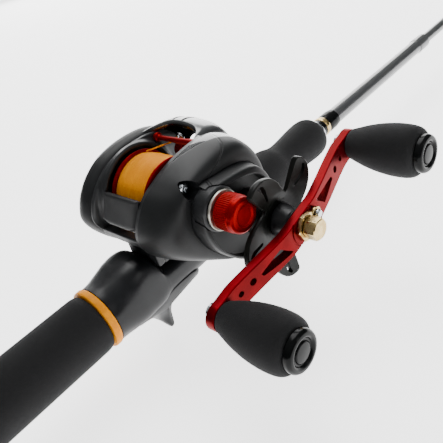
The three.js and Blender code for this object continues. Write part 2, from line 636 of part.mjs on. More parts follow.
function crankArm(group) {
  const { length, thickness, centreX, endX, centreRadius, endRadius } = arm;
  const plan = new THREE.Shape();
  plan.absarc(length, 0, endRadius, -Math.PI / 2, Math.PI / 2);
  plan.absarc(0, 0, centreRadius, rad(60), rad(120));
  plan.absarc(-length, 0, endRadius, Math.PI / 2, 1.5 * Math.PI);
  plan.absarc(0, 0, centreRadius, rad(240), rad(300));
  const side = polygon([
    [-length - 9, endX], [-length + 8, endX], [-12, centreX],
    [12, centreX], [length - 8, endX], [length + 9, endX],
    [length + 9, endX + thickness], [length - 8, endX + thickness], [12, centreX + thickness],
    [-12, centreX + thickness], [-length + 8, endX + thickness], [-length - 9, endX + thickness],
  ]);
  const swept = toSolid(new THREE.ExtrudeGeometry(side, { depth: 40, bevelEnabled: false })
    .applyMatrix4(new THREE.Matrix4().makeBasis(
      new THREE.Vector3(0, 1, 0), new THREE.Vector3(1, 0, 0), new THREE.Vector3(0, 0, -1)))
    .translate(0, 0, 20));
  let body = prismX(plan, endX - 2, centreX + thickness + 2).intersect(swept);
  const cutFrom = endX - 4;
  const cutTo = centreX + thickness + 4;
  for (const end of [1, -1]) {
    const slot = polygon([[end * 12.4, -2.6], [end * 24.5, 0.9], [end * 12.4, 3]]);
    body = body.subtract(prismX(slot, cutFrom, cutTo));
    body = body.subtract(rod(1.5, cutFrom, cutTo, "x", [end * 30, 0], 16));
    body = body.subtract(rod(knob.postRadius + gap, cutFrom, cutTo, "x", [end * length, 0], 20));
  }
  body = body.subtract(rod(crankShaft.radius + gap, cutFrom, cutTo, "x", [0, 0], 24));
  add("crank_arm", body, finishes.red, group);

  const plateFrom = centreX + thickness + gap;
  const plateTo = plateFrom + nut.plateLength;
  const lugAt = nut.plateFlats / 2 + 1.2;
  let plate = prismX(hexagon(nut.plateFlats), plateFrom, plateTo);
  plate = plate.add(rod(nut.screwRadius + 1.2, plateFrom, plateTo, "x", [lugAt, 0], 20));
  plate = plate.subtract(rod(crankShaft.radius + gap, plateFrom - 1, plateTo + 1, "x", [0, 0], 24));
  plate = plate.subtract(rod(nut.screwRadius + gap, plateFrom - 1, plateTo + 1, "x", [lugAt, 0], 16));
  add("nut_retainer", plate, finishes.brass, group);
  const nutFace = plateTo + gap;
  const hex = prismX(hexagon(nut.flats), nutFace, nutFace + nut.length)
    .subtract(rod(crankShaft.radius + gap, nutFace - 1, crankShaft.to + gap, "x", [0, 0], 24));
  add("crank_nut", hex, finishes.brass, group);
  const screw = rod(nut.screwRadius, plateFrom, nutFace, "x", [lugAt, 0], 16)
    .add(rod(nut.screwRadius + 0.3, nutFace, nutFace + 1.2, "x", [lugAt + 0.5, 0], 16));
  add("retainer_screw", screw, finishes.steel, group);
}

function knobSet(group, end, suffix) {
  const { length, base, radius, neck, cap, capLength, postRadius } = knob;
  const y = end * arm.length;
  const from = arm.endX + arm.thickness + gap;
  const to = from + length;
  const capFrom = to - capLength;
  const postFrom = arm.endX - 1.6;
  const postTo = capFrom - 2;
  const post = rod(postRadius, postFrom, postTo, "x", [y, 0], 20)
    .add(rod(postRadius + 1.4, postFrom - 1.2, arm.endX - gap, "x", [y, 0], 20));
  add("knob_post_" + suffix, post, finishes.steel, group);
  const bore = postRadius + spinGap;
  const grip = turned([
    [bore, from], [base - 1, from], [base, from + 1.6], [base + 0.9, from + 7], [radius - 0.8, from + 15],
    [radius, from + 21], [radius - 0.7, from + 26.4], [neck, capFrom - gap], [0, capFrom - gap],
    [0, postTo + gap], [bore, postTo + gap],
  ], "x", [y, 0], 24);
  add("knob_" + suffix, grip, finishes.foam, group);
  const lid = turned([
    [0, capFrom], [cap, capFrom], [cap, to - 0.8], [cap - 1, to],
    [cap - 2.6, to], [cap - 3, to - 1], [0, to - 1],
  ], "x", [y, 0], 24);
  add("knob_cap_" + suffix, lid, finishes.gloss, group);
}

// ---------- the whole object ----------
rodHandle();
rodSections();
reelSeat();
lockingHood();
blankTrim();
reelFrame();
palmPlate();
crankPlate();
topCowl();
spoolSet();
bearings();
levelWind();
thumbRelease();
crankTrain();
tensionKnob();

const starGroup = new THREE.Group();
starGroup.position.set(0, driveAxis[0], driveAxis[1]);
starGroup.rotation.x = rad(star.angle);
reel.add(starGroup);
starDrag(starGroup);

const armGroup = new THREE.Group();
armGroup.position.set(0, driveAxis[0], driveAxis[1]);
armGroup.rotation.x = rad(arm.angle);
reel.add(armGroup);
crankArm(armGroup);
knobSet(armGroup, 1, "front");
knobSet(armGroup, -1, "rear");

export default model;
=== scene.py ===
import json
import math

import bpy
import numpy as np
from mathutils import Matrix, Vector


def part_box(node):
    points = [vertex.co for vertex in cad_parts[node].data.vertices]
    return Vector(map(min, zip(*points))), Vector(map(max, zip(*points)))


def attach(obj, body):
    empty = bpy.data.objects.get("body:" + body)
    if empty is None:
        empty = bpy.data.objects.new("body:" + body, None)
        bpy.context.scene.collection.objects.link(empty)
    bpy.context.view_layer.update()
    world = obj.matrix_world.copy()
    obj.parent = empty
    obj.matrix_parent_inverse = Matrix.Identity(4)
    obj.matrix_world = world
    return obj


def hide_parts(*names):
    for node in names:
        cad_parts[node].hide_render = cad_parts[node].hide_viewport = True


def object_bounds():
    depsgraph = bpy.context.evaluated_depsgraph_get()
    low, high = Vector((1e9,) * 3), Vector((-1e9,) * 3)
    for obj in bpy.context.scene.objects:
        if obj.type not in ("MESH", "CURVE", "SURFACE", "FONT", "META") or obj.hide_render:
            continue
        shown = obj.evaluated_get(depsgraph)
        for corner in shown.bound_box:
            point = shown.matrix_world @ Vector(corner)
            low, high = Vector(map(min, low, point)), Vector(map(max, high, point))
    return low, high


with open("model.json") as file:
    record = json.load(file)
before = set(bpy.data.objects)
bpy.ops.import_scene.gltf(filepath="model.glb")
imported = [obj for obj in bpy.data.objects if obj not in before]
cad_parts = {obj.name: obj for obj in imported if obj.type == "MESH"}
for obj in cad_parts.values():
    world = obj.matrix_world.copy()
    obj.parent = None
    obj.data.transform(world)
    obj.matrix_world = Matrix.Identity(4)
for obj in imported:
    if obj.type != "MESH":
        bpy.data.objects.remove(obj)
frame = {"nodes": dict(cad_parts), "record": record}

cadBox = [list(corner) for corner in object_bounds()]
mm = 0.001  # sizes below are in millimetres, meshes in metres


# places taken from the frame
def nodeBox(node):
    low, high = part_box(node)
    return np.array(low) / mm, np.array(high) / mm


def nodeMiddle(node):
    low, high = nodeBox(node)
    return (low + high) / 2


spoolY, spoolZ = nodeMiddle("spool")[1:]
crankY, crankZ = nodeMiddle("crank_shaft")[1:]
wormY, wormZ = nodeMiddle("worm_shaft")[1:]
screwPlace = (spoolY - 5.3, 40.0)  # the gear side plate's screw, as (y, z)
print("frame loaded, spool axis at", round(spoolY, 1), round(spoolZ, 1))

# camera
cameraSetup = {
    "place": (179.8, spoolY - 115.7, 143.6),
    "right": (0.7044, 0.6572, -0.2681),  # the picture's right and down, as directions
    "down": (0.1798, -0.5306, -0.8283),
    "lens": 46.1,
    "shift": (0.030, -0.069),
}


def makeCamera(setup):
    data = bpy.data.cameras.new("camera")
    data.lens = setup["lens"]
    data.sensor_width = 36
    data.shift_x, data.shift_y = setup["shift"]
    data.clip_start = 0.01
    data.clip_end = 20
    camera = bpy.data.objects.new("camera", data)
    bpy.context.scene.collection.objects.link(camera)
    right = Vector(setup["right"]).normalized()
    up = -Vector(setup["down"])
    up = (up - up.dot(right) * right).normalized()
    back = right.cross(up)
    turn = Matrix((right, up, back)).transposed().to_4x4()
    camera.matrix_world = Matrix.Translation(Vector(setup["place"]) * mm) @ turn
    bpy.context.scene.camera = camera


makeCamera(cameraSetup)


# shader helpers
def toLinear(hexText):
    parts = np.array([int(hexText[i:i + 2], 16) for i in (1, 3, 5)]) / 255
    linear = np.where(parts <= 0.04045, parts / 12.92, ((parts + 0.055) / 1.055) ** 2.4)
    return (*linear.tolist(), 1.0)


def addNode(tree, kind, settings=None, links=None):
    # settings: a socket (name or number) or node property to its value; links: a socket to an output socket
    node = tree.nodes.new(kind)
    for key, value in (settings or {}).items():
        if isinstance(key, int) or key in node.inputs:
            node.inputs[key].default_value = value
        else:
            setattr(node, key, value)
    for key, source in (links or {}).items():
        tree.links.new(source, node.inputs[key])
    return node


def mathNode(tree, operation, first, second=None, third=None):
    node = addNode(tree, "ShaderNodeMath", {"operation": operation})
    for index, value in enumerate((first, second, third)):
        if value is None:
            continue
        if isinstance(value, (int, float)):
            node.inputs[index].default_value = value
        else:
            tree.links.new(value, node.inputs[index])
    return node.outputs[0]


def rangeNode(tree, value, fromLow, fromHigh, toLow=0.0, toHigh=1.0):
    node = addNode(tree, "ShaderNodeMapRange", {"interpolation_type": "SMOOTHSTEP"}, {0: value})
    for index, number in enumerate((fromLow, fromHigh, toLow, toHigh)):
        node.inputs[index + 1].default_value = number
    return node.outputs[0]


def mixColour(tree, factor, first, second):
    node = addNode(tree, "ShaderNodeMix", {"data_type": "RGBA"}, {0: factor})
    for index, value in ((6, first), (7, second)):
        if isinstance(value, tuple):
            node.inputs[index].default_value = value
        else:
            tree.links.new(value, node.inputs[index])
    return node.outputs[2]


def placeInMm(tree, stretch=(1, 1, 1)):
    place = addNode(tree, "ShaderNodeTexCoord").outputs["Object"]
    scale = tuple(part / mm for part in stretch)
    return addNode(tree, "ShaderNodeVectorMath", {"operation": "MULTIPLY", 1: scale}, {0: place}).outputs[0]


def noiseOf(tree, place, size, detail=3.0, rough=0.5):
    # noise whose blobs are about `size` millimetres across
    settings = {"Scale": 1 / size, "Detail": detail, "Roughness": rough}
    return addNode(tree, "ShaderNodeTexNoise", settings, {"Vector": place}).outputs[0]


def bumpOf(tree, height, depth, normal=None):
    links = {"Height": height}
    if normal is not None:
        links["Normal"] = normal
    return addNode(tree, "ShaderNodeBump", {"Distance": depth * mm, "Strength": 1.0}, links).outputs[0]


def newMaterial(name, shader):
    material = bpy.data.materials.new(name)
    material.use_nodes = True
    tree = material.node_tree
    bsdf = tree.nodes["Principled BSDF"]
    for key, value in shader.items():
        bsdf.inputs[key].default_value = value
    return material, tree, bsdf


def grainy(name, look, shader):
    # colour clouds, roughness clouds, a fine grain and sparse dust specks, all sized in millimetres
    material, tree, bsdf = newMaterial(name, shader)
    place = placeInMm(tree)
    cloud = rangeNode(tree, noiseOf(tree, place, look["cloud"], 4), 0.3, 0.7)
    colour = mixColour(tree, cloud, toLinear(look["dark"]), toLinear(look["light"]))
    fine = noiseOf(tree, place, look["grain"], 2)
    speck = rangeNode(tree, fine, 0.68, 0.8)
    if "speck" in look:
        sparse = rangeNode(tree, noiseOf(tree, place, 0.5, 1), 0.74, 0.8)
        scuff = mathNode(tree, "MAXIMUM", mathNode(tree, "MULTIPLY", speck, 0.35), sparse)
        colour = mixColour(tree, scuff, colour, toLinear(look["speck"]))
    tree.links.new(colour, bsdf.inputs["Base Color"])
    low, high = look["rough"]
    tree.links.new(rangeNode(tree, cloud, 0, 1, low, high), bsdf.inputs["Roughness"])
    tree.links.new(bumpOf(tree, fine, look["depth"]), bsdf.inputs["Normal"])
    return material, tree, bsdf, place


# materials, each named for what the real piece is made of
materials = {}


def foamMaterial():
    # moulded EVA foam: soft, matte, nearly black, with tiny closed cells and pale rub marks
    look = {"dark": "#161617", "light": "#1d1d1e", "cloud": 14, "grain": 0.45, "depth": 0.05,
            "rough": (0.78, 0.92), "speck": "#2c2c2d"}
    material, tree, bsdf, place = grainy("EVA foam", look,
                                         {"Specular IOR Level": 0.18, "Sheen Weight": 0.03})
    cells = addNode(tree, "ShaderNodeTexVoronoi", {"Scale": 2.2, "feature": "DISTANCE_TO_EDGE"},
                    {"Vector": place})
    pits = rangeNode(tree, cells.outputs[0], 0.0, 0.18)
    old = bsdf.inputs["Normal"].links[0].from_socket
    tree.links.new(bumpOf(tree, pits, 0.03, old), bsdf.inputs["Normal"])
    rub = rangeNode(tree, noiseOf(tree, place, 22, 6, 0.65), 0.58, 0.74, 0, 0.16)
    base = bsdf.inputs["Base Color"].links[0].from_socket
    tree.links.new(mixColour(tree, rub, base, toLinear("#3a3a3b")), bsdf.inputs["Base Color"])
    return material


satinLook = {
    "dark": "#0f1011", "light": "#151617", "cloud": 18, "grain": 0.16, "depth": 0.012,
    "rough": (0.40, 0.50), "speck": "#24262a",
}


def shellMaterial():
    # satin painted nylon: charcoal, broad soft highlight, a very fine sprayed grain
    return grainy("satin painted nylon", satinLook, {"Specular IOR Level": 0.26})[0]


def gearShellMaterial():
    # the gear side shell: the same satin paint, with the cowl's lacquer running back along its inner top edge
    # and a fine parting line below it
    material, tree, bsdf, place = grainy("satin gear shell", satinLook, {"Specular IOR Level": 0.26})
    parts = addNode(tree, "ShaderNodeSeparateXYZ", None, {0: place})
    across, along, up = parts.outputs
    ahead = mathNode(tree, "SUBTRACT", along, spoolY)
    # lacquer where x is less than 12.6 + 0.27 (y + 3), and only on the upper side
    border = mathNode(tree, "SUBTRACT", mathNode(tree, "MULTIPLY_ADD", ahead, 0.27, 13.4), across)
    strip = mathNode(tree, "MULTIPLY", rangeNode(tree, border, -0.05, 0.05),
                     rangeNode(tree, up, 41.5, 42.5))
    base = bsdf.inputs["Base Color"].links[0].from_socket
    tree.links.new(mixColour(tree, strip, base, toLinear("#0d0f10")), bsdf.inputs["Base Color"])
    tree.links.new(rangeNode(tree, strip, 0, 1, 0.44, 0.16), bsdf.inputs["Roughness"])
    tree.links.new(strip, bsdf.inputs["Coat Weight"])
    # the parting line is the plane 0.939 z - 0.343 y = 36.44; the other groove edges the lacquer
    slope = mathNode(tree, "MULTIPLY_ADD", ahead, -0.343, -36.44)
    plane = mathNode(tree, "ABSOLUTE", mathNode(tree, "MULTIPLY_ADD", up, 0.939, slope))
    rear = rangeNode(tree, ahead, -3.0, -1.0)
    seam = mathNode(tree, "MULTIPLY", rangeNode(tree, plane, 0.12, 0.34, 1, 0), rear)
    edge = rangeNode(tree, mathNode(tree, "ABSOLUTE", border), 0.06, 0.26, 1, 0)
    edge = mathNode(tree, "MULTIPLY", edge, rangeNode(tree, up, 41.5, 42.5))
    groove = mathNode(tree, "MAXIMUM", seam, edge)
    old = bsdf.inputs["Normal"].links[0].from_socket
    depth = mathNode(tree, "SUBTRACT", 1.0, groove)
    tree.links.new(bumpOf(tree, depth, 0.3, old), bsdf.inputs["Normal"])
    return material


def seatMaterial():
    # moulded seat plastic: darker and a little shinier than the reel's shells, with faint handling marks
    look = {"dark": "#0b0c0e", "light": "#111215", "cloud": 9, "grain": 0.2, "depth": 0.01,
            "rough": (0.28, 0.42), "speck": "#1c1e22"}
    return grainy("moulded seat nylon", look, {"Specular IOR Level": 0.27})[0]


def barMaterial():
    # thumb bar: matte textured plastic
    look = {"dark": "#0e0e10", "light": "#141416", "cloud": 6, "grain": 0.22, "depth": 0.03,
            "rough": (0.5, 0.62)}
    return grainy("matte thumb bar nylon", look, {"Specular IOR Level": 0.3})[0]


def glossMaterial():
    # black gloss paint: small crisp highlights on a nearly black ground, with a slight orange peel
    look = {"dark": "#060707", "light": "#090a0b", "cloud": 12, "grain": 1.6, "depth": 0.004,
            "rough": (0.16, 0.24)}
    return grainy("black gloss paint", look, {"Specular IOR Level": 0.11})[0]


def starMaterial():
    # the star drag's dark moulded blades: a low olive sheen instead of a mirror
    look = {"dark": "#0b0c0a", "light": "#121310", "cloud": 7, "grain": 0.5, "depth": 0.006,
            "rough": (0.3, 0.4)}
    return grainy("moulded star nylon", look, {"Specular IOR Level": 0.12})[0]


def cowlMaterial():
    # the cowl's thicker piano-black lacquer, which mirrors the sky along its crown
    look = {"dark": "#0c0e10", "light": "#121417", "cloud": 12, "grain": 1.8, "depth": 0.003,
            "rough": (0.26, 0.34)}
    return grainy("black lacquer", look, {"Coat Weight": 1.0, "Coat Roughness": 0.16, "Coat IOR": 1.9})[0]


def redMaterial(name, dark, light):
    # red anodised aluminium: coloured metal reflections over a fine even grain
    look = {"dark": dark, "light": light, "cloud": 8, "grain": 0.12, "depth": 0.003, "rough": (0.28, 0.38)}
    tint = toLinear("#ff1c24")
    return grainy(name, look, {"Metallic": 0.6, "Specular Tint": tint, "Specular IOR Level": 0.3})[0]


def metalMaterial(name, dark, light, rough):
    # bare or plated metal: crisp reflections, slightly cloudy where it has been handled
    look = {"dark": dark, "light": light, "cloud": 3, "grain": 0.15, "depth": 0.006, "rough": rough}
    return grainy(name, look, {"Metallic": 1.0})[0]


def carbonMaterial():
    # rolled carbon cloth under a thick clear coat: grey twill that glints along the blank
    material, tree, bsdf = newMaterial("carbon blank", {"Coat Weight": 1.0, "Coat Roughness": 0.07})
    place = placeInMm(tree)
    parts = addNode(tree, "ShaderNodeSeparateXYZ", None, {0: place})
    around = mathNode(tree, "MULTIPLY", mathNode(tree, "ARCTAN2", parts.outputs[0], parts.outputs[2]), 4.6)
    first = mathNode(tree, "SINE", mathNode(tree, "MULTIPLY",
                                            mathNode(tree, "ADD", parts.outputs[1], around), 5.2))
    second = mathNode(tree, "SINE", mathNode(
        tree, "MULTIPLY", mathNode(tree, "SUBTRACT", parts.outputs[1], around), 5.2))
    weave = mathNode(tree, "MULTIPLY", first, second)
    mask = rangeNode(tree, weave, -0.6, 0.6)
    streaks = rangeNode(tree, noiseOf(tree, placeInMm(tree, (1, 0.06, 1)), 0.8, 4), 0.35, 0.7)
    colour = mixColour(tree, mask, toLinear("#1d1e20"), toLinear("#46474a"))
    colour = mixColour(tree, mathNode(tree, "MULTIPLY", streaks, 0.4), colour, toLinear("#5c5b58"))
    tree.links.new(colour, bsdf.inputs["Base Color"])
    bsdf.inputs["Metallic"].default_value = 0.35
    tree.links.new(rangeNode(tree, mask, 0, 1, 0.42, 0.3), bsdf.inputs["Roughness"])
    tree.links.new(bumpOf(tree, weave, 0.012), bsdf.inputs["Normal"])
    return material


def enamelMaterial():
    # orange trim enamel: warm yellow-orange, satin, brighter along worn high spots
    look = {"dark": "#d88200", "light": "#ee9800", "cloud": 5, "grain": 0.3, "depth": 0.012,
            "rough": (0.4, 0.55)}
    return grainy("orange trim enamel", look, {"Specular IOR Level": 0.1})[0]


def lineMaterial():
    # braided line laid in tight coils: golden orange thread, with painted shade darkening the valleys between
    # turns
    material, tree, bsdf = newMaterial("orange braided line",
                                       {"Specular IOR Level": 0.08, "Roughness": 0.7})
    place = placeInMm(tree)
    parts = addNode(tree, "ShaderNodeSeparateXYZ", None, {0: place})
    wander = mathNode(tree, "MULTIPLY", noiseOf(tree, placeInMm(tree, (1, 0.25, 0.25)), 3.0, 3), 1.6)
    lay = mathNode(tree, "ADD", parts.outputs[0], wander)
    coils = mathNode(tree, "SINE", mathNode(tree, "MULTIPLY", lay, 2 * math.pi / 0.42))
    # painted shade: a mask of the valleys between coils, where the thread colour is darkened to stand in for
    # the shade that falls there
    coilShadeMask = rangeNode(tree, coils, -1.0, -0.2)
    stray = rangeNode(tree, noiseOf(tree, placeInMm(tree, (1, 0.05, 0.05)), 0.7, 3), 0.52, 0.72)
    colour = mixColour(tree, coilShadeMask, toLinear("#d06000"), toLinear("#ffa600"))
    colour = mixColour(tree, mathNode(tree, "MULTIPLY", stray, 0.55), colour, toLinear("#ffbe10"))
    fibres = noiseOf(tree, place, 0.12, 2)
    colour = mixColour(tree, rangeNode(tree, fibres, 0.6, 0.75, 0, 0.35), colour, toLinear("#9c3c00"))
    tree.links.new(colour, bsdf.inputs["Base Color"])
    height = mathNode(tree, "ADD", coils, mathNode(tree, "MULTIPLY", fibres, 0.4))
    tree.links.new(bumpOf(tree, height, 0.07), bsdf.inputs["Normal"])
    return material


def makeMaterials():
    materials["foam"] = foamMaterial()
    materials["shell"] = shellMaterial()
    materials["seat"] = seatMaterial()
    materials["bar"] = barMaterial()
    materials["gloss"] = glossMaterial()
    materials["lacquer"] = cowlMaterial()
    materials["gearShell"] = gearShellMaterial()
    materials["star"] = starMaterial()
    materials["red"] = redMaterial("red anodised arm", "#54000a", "#6a000e")
    materials["redSpool"] = redMaterial("red anodised spool", "#6e0003", "#860004")
    materials["steel"] = metalMaterial("polished steel", "#b4b8bc", "#d2d5d8", (0.12, 0.24))
    materials["silver"] = metalMaterial("brushed washer alloy", "#b9b4a8", "#d8d3c6", (0.3, 0.42))
    materials["gold"] = metalMaterial("gold plated brass", "#b59a66", "#d6bd88", (0.16, 0.3))
    materials["frame"] = grainy(
        "black cast alloy", {"dark": "#141516", "light": "#1c1d1f", "cloud": 5, "grain": 0.3, "depth": 0.02,
                             "rough": (0.35, 0.5)}, {"Specular IOR Level": 0.4})[0]
    materials["carbon"] = carbonMaterial()
    materials["enamel"] = enamelMaterial()
    materials["line"] = lineMaterial()
    materials["ceramic"] = grainy(
        "dark guide ceramic", {"dark": "#2c3036", "light": "#3b3f45", "cloud": 2, "grain": 0.2,
                               "depth": 0.004,
                               "rough": (0.1, 0.2)}, {"Coat Weight": 0.5})[0]


makeMaterials()
slotMaterial = {
    "grip_foam": "foam", "satin_plastic": "shell", "gloss_black": "gloss", "red_anodised": "red",
    "bright_steel": "steel", "gold_metal": "gold", "dark_metal": "frame", "carbon_blank": "carbon",
    "orange_trim": "enamel", "orange_line": "line", "guide_ceramic": "ceramic",
}
for part in frame["record"]["subparts"]:
    cadObject = frame["nodes"][part["node"]]
    cadObject.data.materials.clear()
    cadObject.data.materials.append(materials[slotMaterial[part["material_slot"]]])
print("materials made")


# shape helpers
def smoothStep(low, high, value):
    t = np.clip((np.asarray(value, float) - low) / (high - low), 0, 1)
    return t * t * (3 - 2 * t)


def softCurve(points, count, closed=False):
    # a Catmull-Rom curve: cubic spans whose slope at a point is half the step between its neighbours
    p = np.asarray(points, float)
    q = np.vstack([p[-1], p, p[0], p[1]]) if closed else np.vstack([2 * p[0] - p[1], p, 2 * p[-1] - p[-2]])
    spans = len(p) if closed else len(p) - 1
    t = np.linspace(0, spans, count, endpoint=not closed)
    i = np.minimum(t.astype(int), spans - 1)
    f = (t - i)[:, None]
    a, b, c, d = q[i], q[i + 1], q[i + 2], q[i + 3]
    square, cube = 2 * a - 5 * b + 4 * c - d, 3 * b - a - 3 * c + d
    return 0.5 * (2 * b + (c - a) * f + square * f ** 2 + cube * f ** 3)


def rounded(profile, radius, steps=4):
    # each inner corner of a profile becomes a short quadratic arc that starts `radius` from the corner
    p = np.asarray(profile, float)
    ahead = p[2:] - p[1:-1]
    behind = p[:-2] - p[1:-1]
    lengthAhead = np.linalg.norm(ahead, axis=1, keepdims=True)
    lengthBehind = np.linalg.norm(behind, axis=1, keepdims=True)
    start = p[1:-1] + behind / lengthBehind * np.minimum(radius, 0.45 * lengthBehind)
    stop = p[1:-1] + ahead / lengthAhead * np.minimum(radius, 0.45 * lengthAhead)
    t = np.linspace(0, 1, steps + 1)[None, :, None]
    arcs = (1 - t) ** 2 * start[:, None] + 2 * t * (1 - t) * p[1:-1][:, None] + t ** 2 * stop[:, None]
    return np.vstack([p[:1], arcs.reshape(-1, p.shape[1]), p[-1:]])


def finer(profile, step):
    # extra points along a profile so that no span is longer than `step`
    p = np.asarray(profile, float)
    spans = np.maximum(1, np.ceil(np.linalg.norm(np.diff(p, axis=0), axis=1) / step).astype(int))
    pieces = [p[i] + np.linspace(0, 1, n, endpoint=False)[:, None] * (p[i + 1] - p[i]) for i,
              n in enumerate(spans)]
    return np.vstack(pieces + [p[-1:]])


def gridFaces(rows, columns, closeRows):
    r = np.arange(rows if closeRows else rows - 1)[:, None]
    c = np.arange(columns)[None, :]
    nextRow, nextColumn = (r + 1) % rows * columns, (c + 1) % columns
    row = r * columns
    return np.stack([row + c, row + nextColumn, nextRow + nextColumn, nextRow + c], -1).reshape(-1, 4)


def makePiece(name, points, faces, material, body="rod_handle", replaces=(), sharp=38):
    # points in mm in the row frame; faces as rows of indices, a triangle having its last index twice
    mesh = bpy.data.meshes.new(name)
    faceLists = [face if face[2] != face[3] else face[:3] for face in np.asarray(faces).tolist()]
    mesh.from_pydata((np.asarray(points) * mm).tolist(), [], faceLists)
    # six times the volume inside; below zero, the faces point inwards
    p = np.asarray(points, float)
    f = np.asarray(faces)
    volume = np.einsum("ij,ij->i", p[f[:, 0]], np.cross(p[f[:, 1]], p[f[:, 2]])).sum()
    volume += np.einsum("ij,ij->i", p[f[:, 0]], np.cross(p[f[:, 2]], p[f[:, 3]])).sum()
    if volume < 0:
        mesh.flip_normals()
    mesh.shade_smooth()
    mesh.set_sharp_from_angle(angle=math.radians(sharp))
    mesh.materials.append(materials[material])
    piece = bpy.data.objects.new(name.replace(" ", "_"), mesh)
    bpy.context.scene.collection.objects.link(piece)
    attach(piece, body)
    if replaces:
        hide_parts(*replaces)
    return piece


def gridPiece(name, grid, material, closeRows=False, ends=(True, True), **rest):
    # a grid whose rows are closed rings; each open end is filled with a fan to its middle
    rows, columns = grid.shape[:2]
    points = grid.reshape(-1, 3)
    faces = gridFaces(rows, columns, closeRows)
    c = np.arange(columns)
    following = (c + 1) % columns
    if ends[0] and not closeRows:
        middle = np.full(columns, len(points))
        points = np.vstack([points, grid[0].mean(0)])
        faces = np.vstack([faces, np.stack([following, c, middle, middle], 1)])
    if ends[1] and not closeRows:
        base = (rows - 1) * columns
        middle = np.full(columns, len(points))
        points = np.vstack([points, grid[-1].mean(0)])
        faces = np.vstack([faces, np.stack([base + c, base + following, middle, middle], 1)])
    return makePiece(name, points, faces, material, **rest)


def turnedPiece(name, profile, axis, centre, material, segments=96, wobble=None, **rest):
    # profile rows are [radius, along]; the ring at each row is centre + radius * (cos, sin) across the axis
    p = np.asarray(profile, float)
    solid = p[0, 0] < 1e-6 and p[-1, 0] < 1e-6
    if solid:
        p = p[1:-1]
    angle = np.linspace(0, 2 * math.pi, segments, endpoint=False)
    radius = np.repeat(p[:, :1], segments, 1)
    if wobble is not None:
        radius = radius + wobble(p[:, 1:2], angle[None, :])
    u, v = radius * np.cos(angle), radius * np.sin(angle)
    along = np.repeat(p[:, 1:2], segments, 1)
    if axis == "x":
        grid = np.stack([along, centre[0] + u, centre[1] + v], -1)
    else:
        grid = np.stack([centre[0] + u, along, centre[1] + v], -1)
    return gridPiece(name, grid, material, closeRows=not solid, ends=(solid, solid), **rest)


def drill(axis, centre, radius, start, stop, segments):
    # a plain round cutter
    profile = [[0, start], [radius, start], [radius, stop], [0, stop]]
    return turnedPiece("cutter", profile, axis, centre, "frame", segments)


def loftPiece(name, rings, material, **rest):
    # rings are closed loops with the same number of points, each in mm
    return gridPiece(name, np.stack(rings), material, **rest)


def softEdges(piece, width, segments, angle=None):
    # rounds a piece's edges, or only those that turn by more than an angle in degrees
    step = piece.modifiers.new("soft edges", "BEVEL")
    step.width = width * mm
    step.segments = segments
    if angle:
        step.limit_method = "ANGLE"
        step.angle_limit = math.radians(angle)


def carved(piece, cutters):
    # cutters are taken out of a piece for good, and then deleted
    for cutter in cutters:
        step = piece.modifiers.new("cut", "BOOLEAN")
        step.object = cutter
        step.operation = "DIFFERENCE"
        step.solver = "EXACT"
    bpy.context.view_layer.update()
    evaluated = piece.evaluated_get(bpy.context.evaluated_depsgraph_get())
    mesh = bpy.data.meshes.new_from_object(evaluated)
    piece.modifiers.clear()
    old = piece.data
    piece.data = mesh
    mesh.name = old.name
    bpy.data.meshes.remove(old)
    for cutter in cutters:
        bpy.data.objects.remove(cutter)
    mesh.shade_smooth()
    mesh.set_sharp_from_angle(angle=math.radians(32))


def resample(outline, count, centre):
    # the outline met by equally turned rays from a centre, so that different outlines match point to point
    d = outline - np.asarray(centre)
    angle = np.unwrap(np.arctan2(d[:, 1], d[:, 0]))
    reach = np.linalg.norm(d, axis=1)
    if angle[-1] < angle[0]:
        angle, reach = angle[::-1], reach[::-1]
    angle = np.append(angle, angle[0] + 2 * math.pi)
    reach = np.append(reach, reach[0])
    ray = np.linspace(0, 2 * math.pi, count, endpoint=False)
    wrapped = angle[0] + np.mod(ray - angle[0], 2 * math.pi)
    r = np.interp(wrapped, angle, reach)
    return np.column_stack([centre[0] + r * np.cos(ray), centre[1] + r * np.sin(ray)])


def ringAt(outline, x):
    # an outline in (y, z), measured from the spool's axis in y, as a ring at that x
    xs = np.full(len(outline), x) if np.isscalar(x) else x
    return np.column_stack([xs, outline[:, 0] + spoolY, outline[:, 1]])


def circle(centre, radius, count):
    ray = np.linspace(0, 2 * math.pi, count, endpoint=False)
    return np.column_stack([centre[0] + radius * np.cos(ray), centre[1] + radius * np.sin(ray)])


# rod: grip, ring, blank
def buildHandle():
    low, high = nodeBox("rear_grip")
    radius = (high[0] - low[0]) / 2 - 0.5
    y0, y1 = low[1], high[1]
    profile = [[5, y0], [radius - 0.9, y0], [radius, y0 + 2.6], [radius + 0.5, y0 + 52],
               [radius + 0.1, y1 - 3],
               [radius - 0.5, y1], [5, y1]]
    profile = finer(rounded(profile, 1.1), 2.0)
    turnedPiece("foam rear grip", profile, "y", (0, 0), "foam", 128, replaces=("rear_grip",), sharp=50)
    low, high = nodeBox("trim_ring")
    radius = (high[0] - low[0]) / 2
    y0, y1 = low[1], high[1]
    profile = [[5, y0], [radius - 0.4, y0], [radius - 0.1, y0 + 0.6], [radius - 0.1, y1 - 0.6],
               [radius - 0.5, y1], [5, y1]]
    turnedPiece("enamel trim ring", rounded(profile, 0.35), "y", (0, 0), "enamel", 128,
                replaces=("trim_ring",))
    low, high = nodeBox("fore_grip")
    y1 = high[1]
    radii = [[11.6, low[1]], [12.4, low[1] + 0.8], [12.0, y1 - 42], [10.0, y1 - 34], [9.5, y1 - 29],
             [9.9, y1 - 22],
             [10.5, y1 - 16], [10.9, y1 - 10], [10.8, y1 - 5.4], [9.9, y1 - 2.2], [8.2, y1 - 0.5],
             [6.0, y1]]
    outside = softCurve(radii, 60)
    profile = np.vstack([outside, [[5.8, y1 - 20]], [[11.3, y1 - 40]], [[11.3, low[1]]]])
    turnedPiece("foam fore grip", profile, "y", (0, 0), "foam", 112, body="lock", replaces=("fore_grip",),
                sharp=50)


